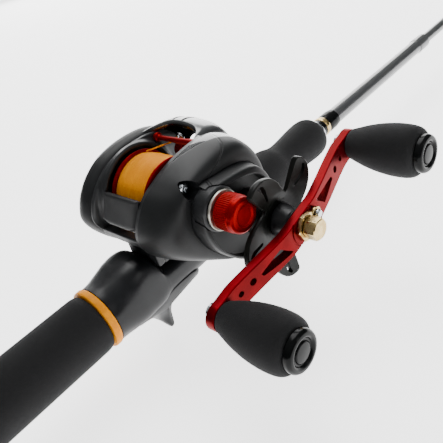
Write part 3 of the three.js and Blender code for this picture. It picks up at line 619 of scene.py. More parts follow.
# knobs
def buildKnobs():
    for end in ("front", "rear"):
        low, high = nodeBox("knob_" + end)
        x0, x1 = low[0], high[0]
        centre = (low[1:] + high[1:]) / 2
        radii = [[5.0, x0], [6.1, x0 + 0.5], [6.9, x0 + 2.6], [8.6, x0 + 8], [9.9, x0 + 14],
                 [10.55, x0 + 20],
                 [10.5, x0 + 25], [9.9, x0 + 28.2], [8.7, x1 - 0.3], [7.9, x1]]
        outside = softCurve(radii, 60)
        profile = np.vstack([[[0, x0]], outside, [[0, x1]]])
        turnedPiece("foam knob " + end, profile, "x", centre, "foam", 96, body="knob_" + end,
                    replaces=("knob_" + end,), sharp=60)
        low, high = nodeBox("knob_cap_" + end)
        x0, x1 = low[0], high[0]
        cap = [[0, x0], [7.6, x0], [7.6, x1 - 1.2], [6.9, x1 - 0.2], [5.6, x1], [4.9, x1 - 0.5],
               [4.6, x1 - 1.1],
               [3.9, x1 - 1.1], [3.6, x1 - 0.4], [0, x1 - 0.1]]
        turnedPiece("knob cap " + end, rounded(cap, 0.4), "x", centre, "gloss", 96, body="knob_" + end,
                    replaces=("knob_cap_" + end,))


# gear side plate: a domed shell with a raised island round the two axes
rightShell = {
    "outline": [(-26, 27), (-22.6, 34), (-17, 39.8), (-11, 42.8), (-5, 45), (2, 46.8), (10, 47.9),
                (18, 48.1),
                (25, 46.8), (31, 43.2), (36.2, 35), (37.6, 22), (35.6, 8), (28, -1), (16, -4.2), (4, -1.4),
                (-8, 5), (-19, 13), (-24.8, 20)],
    "island": [(18.6, 38), (8, 39.6), (-2, 40.5), (-6, 38.2), (-8.4, 34.1), (-10.6, 27.1), (-9.8, 20.8),
               (-6, 12),
               (1, 3.2), (5.3, -0.4), (11.3, -2.2), (20, -1.6), (28, 4), (32.4, 14), (32, 26), (27, 34.6)],
    "well": [(20, 33), (12.8, 35), (3.8, 36), (-2.6, 33.8), (-6.4, 28.6), (-7.2, 22.4), (-5.6, 15), (-1, 8),
             (5, 2.6),
             (12, 0.8), (20, 2), (26.5, 7), (29, 15), (28.4, 24), (25, 30)],
    "inner": 13.3, "foot": 28.6, "floor": 31.4, "centre": (8, 20),
}


def buildRightShell():
    s = rightShell
    count = 240
    outline, island, well = (resample(softCurve(s[key], 400, closed=True), count, s["centre"])
                             for key in ("outline", "island", "well"))
    centre = np.array(s["centre"])
    rings = [ringAt(centre + (outline - centre) * 0.9, s["inner"]), ringAt(outline, s["inner"])]
    for t in np.linspace(0.04, 1, 26):
        # the dome: a quarter of a superellipse from the outline at the inner face to the island's foot
        spread = 1 - (1 - t ** 1.5) ** (1 / 1.5) if t < 1 else 1
        rise = 1 - (1 - t) ** 2.1
        rings.append(ringAt(outline + (island - outline) * spread,
                            s["inner"] + (s["foot"] - s["inner"]) * rise))
    toMiddle = well - island
    band = [(0.03, -0.5), (0.08, -0.5), (0.12, 0.2), (0.2, 2.2), (0.3, 4.6), (0.36, 5.6), (0.45, 6.1),
            (0.6, 6.4),
            (0.85, 6.6), (0.95, 6.4), (1.0, 5.9), (1.04, 5.0), (1.1, 3.2)]
    for part, lift in band:
        rings.append(ringAt(island + toMiddle * part, s["foot"] + lift))
    for shrink, x in ((0.9, s["floor"]), (0.6, s["floor"] - 0.2), (0.3, s["floor"] - 0.2)):
        rings.append(ringAt(centre + (well - centre) * shrink, x))
    shell = loftPiece("gear side shell", rings, "gearShell", replaces=("right_side_plate",), sharp=34)
    carved(shell, [drill("x", screwPlace, 3.7, 22.4, 32, 48),
                   drill("x", (spoolY, spoolZ), 9.6, 30, 40, 64)])
    boss = [[0, 29], [9.2, 29], [9.2, 35.2], [8.6, 35.8], [5.6, 36], [5.4, 44.5], [0, 44.5]]
    turnedPiece("tension boss", rounded(boss, 0.3), "x", (spoolY, spoolZ), "frame", 72)
    drive = [[3.2, 29], [9.4, 29], [9.2, 36.2], [8.6, 36.9], [3.2, 36.9]]
    turnedPiece("drive boss", rounded(drive, 0.3), "x", (crankY, crankZ), "shell", 72)


# palm side plate and the frame's left ring
palmShell = {
    "outline": [(-27.6, 28), (-25.6, 34.6), (-22.2, 39.6), (-16.6, 44.6), (-8.3, 48.6), (4, 50.4), (18, 49),
                (28, 44),
                (34, 35), (34.5, 24), (28, 13.5), (16, 8.2), (0, 7), (-11, 7.6), (-17.6, 11.4),
                (-24.6, 20.4)],
    "inner": -17.3, "centre": (2, 29),
}


def buildPalmShell():
    s = palmShell
    count = 220
    outline = resample(softCurve(s["outline"], 400, closed=True), count, s["centre"])
    centre = np.array(s["centre"])

    def inset(amount):
        spoke = outline - centre
        return centre + spoke * (1 - amount / np.linalg.norm(spoke, axis=1, keepdims=True))

    levels = [(s["inner"], 6), (s["inner"], 2.2), (s["inner"] - 0.6, 1.4), (s["inner"] - 1.6, 0.8),
              (-20.6, 0.1),
              (-22.6, 0), (-24.2, 0.4), (-25.6, 1.4), (-26.4, 2.8), (-26.8, 4.6), (-27, 7), (-27, 12),
              (-27, 20)]
    rings = [ringAt(inset(drop), x) for x, drop in levels]
    shell = loftPiece("palm side shell", rings, "shell", replaces=("left_side_plate",), sharp=40)
    dialY, dialZ = nodeMiddle("brake_dial")[1:]
    carved(shell, [drill("x", (dialY, dialZ), 9.35, -30, -25.1, 72)])
    # the frame's left ring falls from the plate's outline to a round lip about the spool, then into the bore
    bowl = []
    lip = circle((0, spoolZ), 20.4, count)
    for part, x in ((0.0, -17.0), (0.0, -16.4), (0.12, -15.9), (0.3, -15.6), (0.5, -15.5), (0.7, -15.2),
                    (0.86, -14.4),
                    (0.96, -13.2), (1.0, -12.6)):
        edge = inset(1.6)
        bowl.append(ringAt(edge + (lip - edge) * part, x))
    for radius, x in ((20.0, -12.1), (19.4, -11.9), (18.7, -12.0), (18.3, -12.4), (18.2, -17.0)):
        bowl.append(ringAt(circle((0, spoolZ), radius, count), x))
    gridPiece("frame left ring", np.stack(bowl), "frame", closeRows=True, ends=(False, False), sharp=40)


def buildFrame():
    # the crank-side wall, the bridges under the spool and the foot, as softened blocks
    s = rightShell
    wall = resample(softCurve(s["outline"], 400, closed=True), 200, s["centre"])
    centre = np.array(s["centre"])
    grown = centre + (wall - centre) * 0.985
    rings = [ringAt(centre + (wall - centre) * 0.9, 11.0), ringAt(grown, 11.0), ringAt(grown, 13.2)]
    piece = loftPiece("frame right wall", rings, "frame", replaces=("reel_frame",), sharp=40)
    carved(piece, [drill("x", place, 2.5, 5, 20, 32) for place in ((spoolY, spoolZ), (wormY, wormZ))])
    blocks = {
        "frame floor": ((-7.5, 12.5), (-18, 20), (8.6, 12.0)),
        "frame rear post": ((-6, 12.5), (-21, -17.5), (8.8, 19.4)),
        "frame front bridge": ((-16, 12.5), (26.8, 31.5), (14.2, 20)),
        "frame rear bridge": ((-16, 12.5), (-24.0, -19.6), (19.6, 23.0)),
        "reel foot": ((-6.5, 6.5), (-31.5, 31.5), (6.8, 9.2)),
    }
    for name, (xs, ys, zs) in blocks.items():
        softBlock(name, xs, np.add(ys, spoolY), zs, 0.8, "frame")


def softBlock(name, xs, ys, zs, bevel, material, **rest):
    # a box with every edge rounded by a bevel
    corners = [(x, y, z) for x in xs for y in ys for z in zs]
    faces = [(0, 1, 3, 2), (4, 6, 7, 5), (0, 4, 5, 1), (2, 3, 7, 6), (0, 2, 6, 4), (1, 5, 7, 3)]
    piece = makePiece(name, corners, faces, material, **rest)
    softEdges(piece, bevel, 3)
    return piece


# cowl over the level wind
cowl = {
    # columns across the reel: x, then the rear edge (y, z) of the top at that x
    "edge": [(-18.6, 14.5, 49.2), (-16.4, 20.2, 49.4), (-12.5, 24.4, 49.6), (-8, 25.6, 49.6),
             (-2, 25.6, 49.4),
             (3.4, 25.2, 49.0), (7.0, 23.6, 48.6), (9.6, 20.6, 48.0), (11.0, 16.4, 47.3)],
    "front": [(-1.5, -1.5), (-1.1, -0.7), (-0.3, -0.1), (2.4, -0.35), (5.4, -1.4), (8.4, -3.1),
              (10.6, -5.4),
              (11.8, -8.4), (11.6, -12)],
}


def buildCowl():
    edge = softCurve(cowl["edge"], 60)
    profile = softCurve(cowl["front"], 40)
    reach = 37.4  # how far forward the nose comes from the spool's axis
    depth = reach - edge[:, 1]
    stretch = (depth / 11.8)[:, None]
    x = np.repeat(edge[:, :1], 40, 1)
    y = edge[:, 1:2] + profile[None, :, 0] * stretch
    crown = 0.9 * (1 - ((edge[:, :1] + 3) / 15) ** 2)
    z = edge[:, 2:3] + profile[None, :, 1] * (0.55 + 0.45 * stretch) + crown + 0.2
    top = np.stack([x, y + spoolY, z], -1)
    under = top + np.array([0, 0.2, -1.3])
    grid = np.concatenate([top, under[:, ::-1]], 1)
    body = gridPiece("gloss cowl", grid, "lacquer", replaces=("top_cowl",), sharp=36)
    slots = []
    for slotX in (-15.4, -9.4, -3.6):
        angle = np.linspace(0, 2 * math.pi, 24, endpoint=False)
        shape = np.column_stack([0.9 * np.cos(angle),
                                 4.6 * np.sign(np.sin(angle)) * np.abs(np.sin(angle)) ** 0.6])
        loops = [np.column_stack([slotX + shape[:, 0], spoolY + 29.6 + shape[:, 1], np.full(24, level)])
                 for level in (36, 56)]
        slots.append(loftPiece("cutter", loops, "frame"))
    carved(body, slots)
    # the right leg: a strip along the shell's top edge that narrows to a point behind the spool
    path = softCurve([(11.6, 19.4, 47.6), (11.9, 14, 46.9), (12.2, 7, 46.1), (12.5, 1.5, 45.2),
                      (12.9, -3.5, 44.1)], 40)
    width = np.linspace(1, 0, 40) ** 0.7
    section = np.array([(-0.9, -1.6), (-1.0, 0.3), (-0.5, 0.7), (2.2, 0.5), (3.4, -0.3), (3.6, -1.6)])
    loops = [np.column_stack([row[0] + section[:, 0] * (0.15 + 0.85 * w), np.full(6, row[1] + spoolY),
                              row[2] + section[:, 1]]) for row, w in zip(path, width)]
    loftPiece("cowl leg", loops, "lacquer", sharp=40)


# thumb bar
def buildThumbBar():
    low, high = nodeBox("thumb_bar")
    centre = (low + high) / 2
    tilt = math.radians(62)
    across = np.array([0, math.cos(tilt), math.sin(tilt)])  # from the lower edge to the upper one
    out = np.array([0, -math.sin(tilt), math.cos(tilt)])
    halfWidth, halfLength = 11.2, 6.3
    u = np.linspace(-1, 1, 40)
    v = np.linspace(-1, 1, 24)
    uu, vv = np.meshgrid(u, v, indexing="ij")
    dish = 0.5 * (uu ** 2) - 0.35 * (1 - vv ** 2)
    lowerRound = 1 - 0.18 * smoothStep(0.55, 1.0, np.abs(uu)) * smoothStep(-0.2, -1, vv)
    sideways = uu[..., None] * np.array([halfWidth, 0, 0])
    upward = (vv * lowerRound * halfLength)[..., None] * across
    face = centre + sideways + upward + (1.3 + 0.3 * dish)[..., None] * out
    edgeFade = np.maximum(np.abs(uu), np.abs(vv)) ** 14
    face = face - (edgeFade * 0.8)[..., None] * out
    back = centre + sideways * 0.98 + upward * 0.98 - 1.4 * out
    grid = np.concatenate([face, back[:, ::-1]], 1)
    gridPiece("thumb bar", grid, "bar", body="thumb", replaces=("thumb_bar",), sharp=50)


# spool, line, level wind
def buildSpool():
    low, high = nodeBox("spool")
    left, right = -11.6, high[0]
    flange = 17.4
    profile = [[1.8, low[0]], [3.4, low[0]], [4.4, left], [12, left + 0.1], [14, left - 0.1],
               [flange - 0.6, left - 0.1],
               [flange, left + 0.3], [flange, left + 0.9], [flange - 0.5, left + 1.2], [8, left + 1.2],
               [8, right - 1.2],
               [flange - 0.5, right - 1.2], [flange, right - 0.9], [flange, right - 0.3],
               [flange - 0.5, right],
               [1.8, right]]
    turnedPiece("red spool", rounded(profile, 0.25), "x", (spoolY, spoolZ), "redSpool", 160, body="spool",
                replaces=("spool",))
    low, high = nodeBox("line_pack")
    x = np.linspace(low[0], high[0], 130)
    middle = (x[0] + x[-1]) / 2
    base = 16.25 - 0.45 * ((x - middle) / (x[-1] - middle)) ** 4
    profile = np.vstack([[[8.3, x[0]]], np.column_stack([base, x]), [[8.3, x[-1]]]])

    def coils(along, angle):
        # each turn of line is a ridge that steps over as it goes round, with slow swells where turns cross
        ridge = 0.07 * np.abs(np.sin(math.pi * (along / 0.84 + angle / (2 * math.pi))))
        swell = 0.10 * np.sin(3 * angle + along * 0.9) * np.sin(along * 0.55 + 1)
        return (ridge + swell) * (along > x[0]) * (along < x[-1])

    turnedPiece("wound line", profile, "x", (spoolY, spoolZ), "line", 260, wobble=coils, body="spool",
                replaces=("line_pack",), sharp=80)


def buildLevelWind():
    # the line guide: a red barrel round the worm with an upright eye
    low, high = nodeBox("line_guide")
    x0, x1 = low[0], high[0]
    barrel = [[2.45, x0], [3.6, x0], [3.95, x0 + 0.5], [3.95, x1 - 0.5], [3.6, x1], [2.45, x1]]
    turnedPiece("line guide barrel", rounded(barrel, 0.3), "x", (wormY, wormZ), "redSpool", 64,
                body="guide",
                replaces=("line_guide",))
    ring = np.linspace(0, 2 * math.pi, 40, endpoint=False)
    tube = np.linspace(0, 2 * math.pi, 14, endpoint=False)
    a, b = np.meshgrid(ring, tube, indexing="ij")
    eyeZ = wormZ + 5.6
    radius = 1.9 + 0.55 * np.cos(b)
    grid = np.stack([(x0 + x1) / 2 + radius * np.cos(a), wormY + 0.7 * np.sin(b),
                     eyeZ + radius * np.sin(a)], -1)
    gridPiece("line guide eye", grid, "steel", closeRows=True, ends=(False, False), body="guide")
    # a guard bar above the worm, thicker towards the crank side
    length = softCurve([[0, -17.2], [0.9, -17], [1.1, -15.6], [2.1, -14.6], [2.2, -13.2], [1.2, -11.6],
                        [1.25, -4],
                        [1.5, 4], [1.8, 11], [0, 11.4]], 60)
    length = length[np.concatenate([[True], np.diff(length[:, 1]) > 0])]
    turnedPiece("level wind guard bar",
                np.vstack([[[0, length[0, 1]]], np.maximum(length[1:-1], [[0.3, -99]]),
                                                   [[0, length[-1, 1]]]]),
                "x", (spoolY + 17.5, 45.2), "redSpool", 48)


# tension cap, washer, star drag
def buildTension():
    low, high = nodeBox("tension_cap")
    x0, x1 = low[0], high[0]
    radius = (high[1] - low[1]) / 2
    profile = [[5.7, x0], [radius - 0.5, x0], [radius, x0 + 0.5], [radius, x0 + 6.8],
               [radius - 0.2, x0 + 7.2],
               [radius - 0.1, x0 + 7.8], [radius - 0.3, x1 - 0.9], [radius - 1.2, x1 - 0.1], [4.4, x1],
               [3.8, x1 - 0.4],
               [0, x1 - 0.5]]
    profile = np.vstack([[[0, x0 + 8]], [[5.7, x0 + 7.9]], finer(rounded(profile, 0.3), 0.35)])

    def knurl(along, angle):
        # fine ribs round the grip band, and shallow rings across them
        band = smoothStep(x0 + 0.6, x0 + 1.2, along) * (1 - smoothStep(x0 + 6.4, x0 + 6.9, along))
        return band * (0.10 * np.cos(56 * angle) + 0.05 * np.cos(2 * math.pi * (along - x0) / 0.8))

    turnedPiece("red tension cap", profile, "x", (spoolY, spoolZ), "redSpool", 336, wobble=knurl,
                body="cap",
                replaces=("tension_cap",), sharp=60)
    low, high = nodeBox("tension_washer")
    radius = (high[1] - low[1]) / 2
    ring = [[5.7, low[0]], [radius, low[0]], [radius, high[0]], [5.7, high[0]]]
    turnedPiece("silver washer", rounded(ring, 0.25), "x", (spoolY, spoolZ), "silver", 96,
                replaces=("tension_washer",))


# reel seat and its trigger
seat = {
    # stations along the rod from the spool's axis: y, half width, top, bottom, squareness of the section
    "stations": [(-47.5, 13.0, 13.0, -13.0, 2.0), (-44, 13.1, 13.2, -12.9, 2.1),
                 (-39.5, 13.3, 14.0, -12.6, 2.4),
                 (-34, 13.4, 15.2, -12.0, 2.8), (-29, 13.1, 15.8, -11.6, 3.0),
                 (-24.6, 12.8, 15.0, -11.4, 3.0),
                 (-21.6, 12.5, 12.4, -11.2, 2.8), (-19.6, 12.3, 7.2, -11.0, 2.6),
                 (-16, 12.1, 6.4, -11.0, 2.5),
                 (0, 11.9, 6.4, -11.4, 2.4), (20, 11.6, 6.4, -11.4, 2.2), (25, 11.2, 6.4, -11.2, 2.1),
                 (26.4, 9.2, 6.3, -9.2, 2.0), (41, 9.0, 6.2, -9.0, 2.0), (42, 9.0, 9.0, -9.0, 2.0),
                 (62, 9.0, 9.0, -9.0, 2.0)],
    "trigger": [(-40.5, -9.5), (-37.4, -11.2), (-33.6, -13.2), (-29.8, -16.4), (-26.0, -21.6),
                (-23.2, -26.4),
                (-21.6, -29.6), (-20.5, -30.0), (-19.6, -28.9), (-19.0, -24.4), (-18.6, -20.4),
                (-17.2, -15.4),
                (-13.6, -12.2), (-8.0, -10.9), (-1.2, -10.6), (-3, -6), (-20, -4), (-38, -5)],
}


def buildSeat():
    stations = softCurve(seat["stations"], 150)
    angle = np.linspace(0, 2 * math.pi, 120, endpoint=False)
    c, t = np.cos(angle), np.sin(angle)
    power = 2 / stations[:, 4:5]
    x = stations[:, 1:2] * np.sign(c) * np.abs(c) ** power
    z = np.where(t > 0, stations[:, 2:3], -stations[:, 3:4]) * np.sign(t) * np.abs(t) ** power
    y = np.repeat(stations[:, :1] + spoolY, len(angle), 1)
    body = gridPiece("reel seat", np.stack([x, y, z], -1), "seat", replaces=("reel_seat",), sharp=34)
    bore = drill("y", (0, 0), 5.0, spoolY - 60, spoolY + 70, 48)
    pocket = softBlock("cutter", (-6.8, 6.8), (spoolY - 31.8, spoolY), (6.3, 9.6), 0.3, "seat")
    carved(body, [bore, pocket])
    # the trigger: an outline in (y, z) across the rod, thinning and rounding towards its sides
    outline = softCurve(seat["trigger"], 220, closed=True)
    middle = np.array([-21, -10])
    spoke = outline - middle
    reach = np.linalg.norm(spoke, axis=1, keepdims=True)
    rows = []
    for x, inset in ((-4.6, 3.2), (-4.55, 2.0), (-4.2, 1.0), (-3.4, 0.35), (-2, 0.05), (0, 0), (2, 0.05),
                     (3.4, 0.35),
                     (4.2, 1.0), (4.55, 2.0), (4.6, 3.2)):
        # the blade spreads towards the seat it grows from
        flat = middle + spoke * (1 - inset / reach)
        spread = 0.75 + 1.8 * smoothStep(-25, -4, flat[:, 1]) ** 1.2
        rows.append(np.column_stack([x * spread, flat[:, 0] + spoolY, flat[:, 1]]))
    loftPiece("trigger", rows, "seat", sharp=60)


def buildHood():
    low, high = nodeBox("sliding_hood")
    y0, y1 = low[1], high[1]
    ring = [[9.3, y0], [12.2, y0], [12.8, y0 + 1.4], [12.8, y1 - 5], [12.2, y1], [9.3, y1]]
    hoodPiece = turnedPiece("sliding hood", rounded(ring, 0.6), "y", (0, 0), "seat", 96, body="hood",
                            replaces=("sliding_hood",))
    slot = softBlock("cutter", (-6.8, 6.8), (y0 - 1, spoolY + 32), (0, 9.5), 0.2, "seat")
    carved(hoodPiece, [slot])
    low, high = nodeBox("lock_nut")
    y0, y1 = low[1], high[1]
    nutProfile = [[9.3, y0], [11.9, y0], [12.2, y0 + 0.4], [12.2, y0 + 5.4], [11.9, y0 + 6], [10.9, y0 + 6],
                  [10.9, y1],
                  [9.3, y1]]
    profile = finer(rounded(nutProfile, 0.25), 0.8)

    def ribs(along, angle):
        return 0.22 * np.clip(np.cos(30 * angle), -1, 0.2) * smoothStep(y0 + 0.4, y0 + 1.2, along) * (
            along < y0 + 5)

    turnedPiece("lock nut", profile, "y", (0, 0), "seat", 240, wobble=ribs, body="lock",
                replaces=("lock_nut",))
    cap = [[0, 0], [8.6, 0], [9.2, 0.3], [12.4, 0.7], [13.3, 1.6], [13.6, 3.4], [13.6, 13.4], [13.2, 14],
           [5, 14],
           [5, 6.1], [0, 6]]
    turnedPiece("butt cap", rounded(cap, 0.5), "y", (0, 0), "seat", 96, replaces=("butt_cap",))


# blank, wraps, telescopic sections and guides
def buildBlank():
    low, high = nodeBox("base_blank")
    y0, y1 = low[1], high[1]
    bore = nodeBox("section_2")[1][0] + 0.22
    profile = [[0, y0], [4.7, y0], [4.7, spoolY + 110], [4.45, y1 - 13], [4.42, y1 - 12.6], [4.85, y1 - 12],
               [4.9, y1 - 6], [4.85, y1 - 0.8], [4.4, y1], [bore, y1], [bore, 96.2], [0, 96]]
    turnedPiece("carbon butt section", finer(rounded(profile, 0.3), 8), "y", (0, 0), "carbon", 72,
                replaces=("base_blank",))
    bodies = {"section_2": "second", "section_3": "third", "section_4": "fourth", "tip_section": "tip"}
    names = list(bodies)
    for index, name in enumerate(names):
        low, high = nodeBox(name)
        radius = high[0]
        if index < 3:
            inner = nodeBox(names[index + 1])[1][0] + 0.2
            rows = [[inner, low[1]], [radius, low[1]], [radius, high[1] - 9], [radius - 0.02, high[1]],
                    [inner, high[1]]]
        else:
            rows = [[0, low[1]], [radius, low[1]], [radius, high[1]], [0, high[1]]]
        turnedPiece("carbon " + name, finer(rounded(rows, 0.1), 10), "y", (0, 0), "carbon", 48,
                    body=bodies[name],
                    replaces=(name,))
    for name, material in (("blank_wrap", "gloss"), ("gold_band", "gold"), ("blank_sleeve", "gloss"),
                           ("winding_check", "steel")):
        low, high = nodeBox(name)
        radius = high[0]
        inner = 5.95 if name == "winding_check" else 5.02
        span = high[1] - low[1]
        rows = [[inner, low[1]], [radius - 0.25, low[1]], [radius, low[1] + 0.22 * span],
                [radius, high[1] - 0.3 * span], [radius - 0.3, high[1]], [inner, high[1]]]
        turnedPiece(name.replace("_", " "), rounded(rows, 0.3), "y", (0, 0), material, 72,
                    body=bodyOf(name),
                    replaces=(name,))


def bodyOf(node):
    for body, nodes in frame["record"]["behaviour"]["bodies"].items():
        if node in nodes:
            return body
    raise ValueError(node)


def torus(name, centre, radius, thick, material, **rest):
    # a ring in the x, z plane: centre + (radius + thick cos b) (cos a, sin a), + thick sin b along the rod
    a, b = np.meshgrid(np.linspace(0, 2 * math.pi, 56, endpoint=False),
                       np.linspace(0, 2 * math.pi, 16, endpoint=False), indexing="ij")
    reach = radius + thick[0] * np.cos(b)
    grid = np.stack([centre[0] + reach * np.cos(a), centre[1] + thick[1] * np.sin(b),
                     centre[2] + reach * np.sin(a)], -1)
    return gridPiece(name, grid, material, closeRows=True, ends=(False, False), **rest)


def tubePiece(name, path, radius, material, **rest):
    # circles carried along a path, each turned square to it
    p = softCurve(path, 40)
    ahead = np.gradient(p, axis=0)
    ahead /= np.linalg.norm(ahead, axis=1, keepdims=True)
    side = np.cross(ahead, [0.3, 0.2, 1.0])
    side /= np.linalg.norm(side, axis=1, keepdims=True)
    other = np.cross(ahead, side)
    angle = np.linspace(0, 2 * math.pi, 16, endpoint=False)
    grid = p[:, None] + radius * (np.cos(angle)[None, :, None] * side[:, None]
                                  + np.sin(angle)[None, :, None] * other[:, None])
    return gridPiece(name, grid, material, **rest)


def buildGuides():
    for name in ("guide_2", "guide_3", "guide_4", "tip_top"):
        body = bodyOf(name)
        low, high = nodeBox(name)
        ringLow, ringHigh = nodeBox(name + "_ring")
        middle = (ringLow + ringHigh) / 2
        outer = (ringHigh[0] - ringLow[0]) / 2
        torus(name + " insert", middle, outer - 0.45, (0.45, 0.8), "ceramic", body=body,
              replaces=(name + "_ring",))
        torus(name + " frame", middle, outer + 0.7, (0.45, 1.0), "steel", body=body, replaces=(name,))
        sleeve = -low[2] - 0.1
        rows = [[sleeve - 0.7, low[1]], [sleeve - 0.3, low[1]], [sleeve, low[1] + 1.4],
                [sleeve, high[1] - 1.4],
                [sleeve - 0.3, high[1]], [sleeve - 0.7, high[1]]]
        turnedPiece(name + " wrap", rounded(rows, 0.3), "y", (0, 0), "gloss", 48, body=body)
        for side in (-1, 1):
            path = [(side * (outer + 0.6) * 0.8, middle[1], middle[2] - (outer + 0.6) * 0.6),
                    (side * sleeve * 0.75, middle[1] - 1.2, sleeve * 0.9),
                    (side * 0.5, middle[1] - 3.2, sleeve * 0.95)]
            tubePiece(name + (" left leg" if side < 0 else " right leg"), path, 0.42, "steel", body=body)


# crank arm, star drag, nut
def crankPoint(u, v, turn):
    # a point of a part turned about the crank's axis, as (y, z)
    c, k = math.cos(turn), math.sin(turn)
    return crankY + u * c - v * k, crankZ + u * k + v * c


def crankCutter(outline, x0, x1, turn):
    # a prism from x0 to x1, to be cut out of a part that turns about the crank's axis
    y, z = crankPoint(*np.asarray(outline, float).T, turn)
    levels = (x0, (x0 + x1) / 2, x1)
    return loftPiece("cutter", [np.column_stack([np.full(len(y), x), y, z]) for x in levels], "frame")


crankArm = {
    "turn": math.radians(12.4),
    # from the middle outwards: distance, half width
    "width": [(0, 9.0), (4, 8.9), (8, 8.3), (12, 7.6), (18, 7.0), (26, 6.3), (34, 5.7), (40, 5.5),
              (44, 5.5), (46.5, 5.6)],
    "slot": [(10.6, 2.8), (12.2, 0.9), (14.6, -2.2), (15.6, -2.5), (25.0, -0.6), (25.5, 0.1), (24.6, 1.3),
             (18, 2.6), (11.4, 3.4)],
}


def buildCrankArm():
    turn = crankArm["turn"]
    low, high = nodeBox("crank_arm")
    thick = 4.0
    centreX, endX = high[0] - thick, low[0]  # the arm's rear face at the shaft and at the knobs
    width = np.array(crankArm["width"])
    u = np.concatenate([np.linspace(-52.0, -46.5, 16), np.linspace(-46, 46, 110),
                        np.linspace(46.5, 52.0, 16)])
    body = np.interp(np.abs(u), width[:, 0], width[:, 1])
    tip = np.sqrt(np.clip(5.6 ** 2 - np.clip(np.abs(u) - 46.5, 0, 5.6) ** 2, 0.3, None))
    half = np.minimum(body, tip)
    bend = np.clip((np.abs(u) - 10) / 28, 0, 1)
    back = endX + (centreX - endX) * (1 - 0.5 * bend - 0.5 * smoothStep(6, 42, np.abs(u)))
    corners = np.array([(-1, 0.45), (-1, 3.4), (-0.985, 3.75), (-0.93, 4), (-0.5, 4), (0, 4), (0.5, 4),
                        (0.93, 4),
                        (0.985, 3.75), (1, 3.4), (1, 0.45), (0.94, 0), (0, 0), (-0.94, 0)])
    v = half[:, None] * corners[None, :, 0]
    x = back[:, None] + corners[None, :, 1] * thick / 4
    y, z = crankPoint(np.repeat(u[:, None], len(corners), 1), v, turn)
    arm = gridPiece("red crank arm", np.stack([x, y, z], -1), "red", body="crank", replaces=("crank_arm",),
                    sharp=30)
    cutters = [drill("x", (crankY, crankZ), 2.9, 40, 70, 48)]
    slot = softCurve(crankArm["slot"], 60, closed=True)
    for side in (1, -1):
        cutters.append(crankCutter(slot * side, 46, 68, turn))
        for distance, radius in ((29.8, 1.5), (36, 1.25), (46, 2.05)):
            place = crankPoint(side * distance, 0.6 * (distance < 40), turn)
            cutters.append(drill("x", place, radius, 40, 70, 32))
    groove = [[7.3, 60.6], [7.8, 60.55], [8.1, 60.9], [8.1, 62], [7.3, 62]]
    cutters.append(turnedPiece("cutter", groove, "x", (crankY, crankZ), "frame", 96))
    carved(arm, cutters)
    softEdges(arm, 0.22, 2, 50)


star = {
    "turn": math.radians(46),
    # front and back faces as radius and distance behind the tips; arm and slot as radius and degrees
    "inner": 6.0, "front": [(3, 4.4), (8.4, 3.8), (12, 2.5), (17, 1.7), (22.6, 0.9), (27, 0.1)],
    # from radius 11.4 outward the blades pass over 0.6 in front of the tension cap
    "back": [(3, 8.4), (8, 7.2), (11.2, 4.3), (13, 4.1), (19, 3.6), (27, 2.9)],
    "arm": [(11.4, 14), (13.5, 12.4), (17, 11.6), (21, 11), (24.4, 10.2), (25.3, 7.5), (25.4, 2),
            (24.9, -5), (23.6, -12),
            (20.8, -22), (17.2, -32), (13.8, -42), (11.8, -51)],
    "slot": [(14.0, -5), (17, -7.6), (20, -8.6), (22.2, -7), (23.6, -2.6), (23.0, -0.4), (21.2, -2.4),
             (18.6, -3),
             (16, -1.8), (14.2, -1)],
}


def polar(points, turn=0.0):
    p = np.asarray(points, float)
    angle = np.radians(p[:, 1] + turn)
    return np.column_stack([p[:, 0] * np.cos(angle), p[:, 0] * np.sin(angle)])


def buildStar():
    low, high = nodeBox("star_drag")
    x1 = high[0]
    outline = np.vstack([softCurve(polar(star["arm"], -72 * k), 48) for k in range(5)])
    reach = np.linalg.norm(outline, axis=1)[:, None]
    # spokes run from the inner circle out along the front face, over the rim, and back along the rear face
    t = np.linspace(0, 1, 16)[None, :]
    spoke = star["inner"] + (reach - 0.5 - star["inner"]) * t
    front = x1 - np.interp(spoke, *np.transpose(star["front"]))
    back = x1 - np.interp(spoke, *np.transpose(star["back"]))
    rimFront, rimBack = front[:, -1:], back[:, -1:]
    radius = np.hstack([spoke, reach - 0.15, reach, reach, reach - 0.15, spoke[:, ::-1]])
    x = np.hstack([front, rimFront - 0.2, rimFront - 0.6, rimBack + 0.6, rimBack + 0.2, back[:, ::-1]])
    y, z = crankPoint(radius * outline[:, :1] / reach, radius * outline[:, 1:] / reach, star["turn"])
    blade = gridPiece("star drag", np.stack([x, y, z], -1), "star", closeRows=True, ends=(False, False),
                      sharp=34,
                      body=bodyOf("star_drag"), replaces=("star_drag",))
    slots = [crankCutter(softCurve(polar(star["slot"], 72 * k), 50, closed=True), x1 - 12, x1 + 4,
                         star["turn"])
             for k in range(5)]
    carved(blade, slots)
    softEdges(blade, 0.45, 3, 50)
    hub = [[3.1, low[0]], [8.4, low[0]], [9.4, low[0] + 1], [9.6, low[0] + 4], [9.0, low[0] + 7.4],
           [6.8, low[0] + 9.4],
           [3.1, low[0] + 9.6]]
    turnedPiece("star hub", rounded(hub, 0.6), "x", (crankY, crankZ), "star", 72, body=bodyOf("star_drag"))
    # the spacer that fills the shaft between the star and the arm, on the crank
    x2 = nodeBox("crank_arm")[1][0] - 4.2
    spacer = [[2.75, x1 - 3.6], [6.8, x1 - 3.4], [6.4, x1 - 1.5], [5.2, x2 - 1.2], [5.6, x2], [2.75, x2]]
    turnedPiece("crank spacer", rounded(spacer, 0.4), "x", (crankY, crankZ), "frame", 64, body="crank")


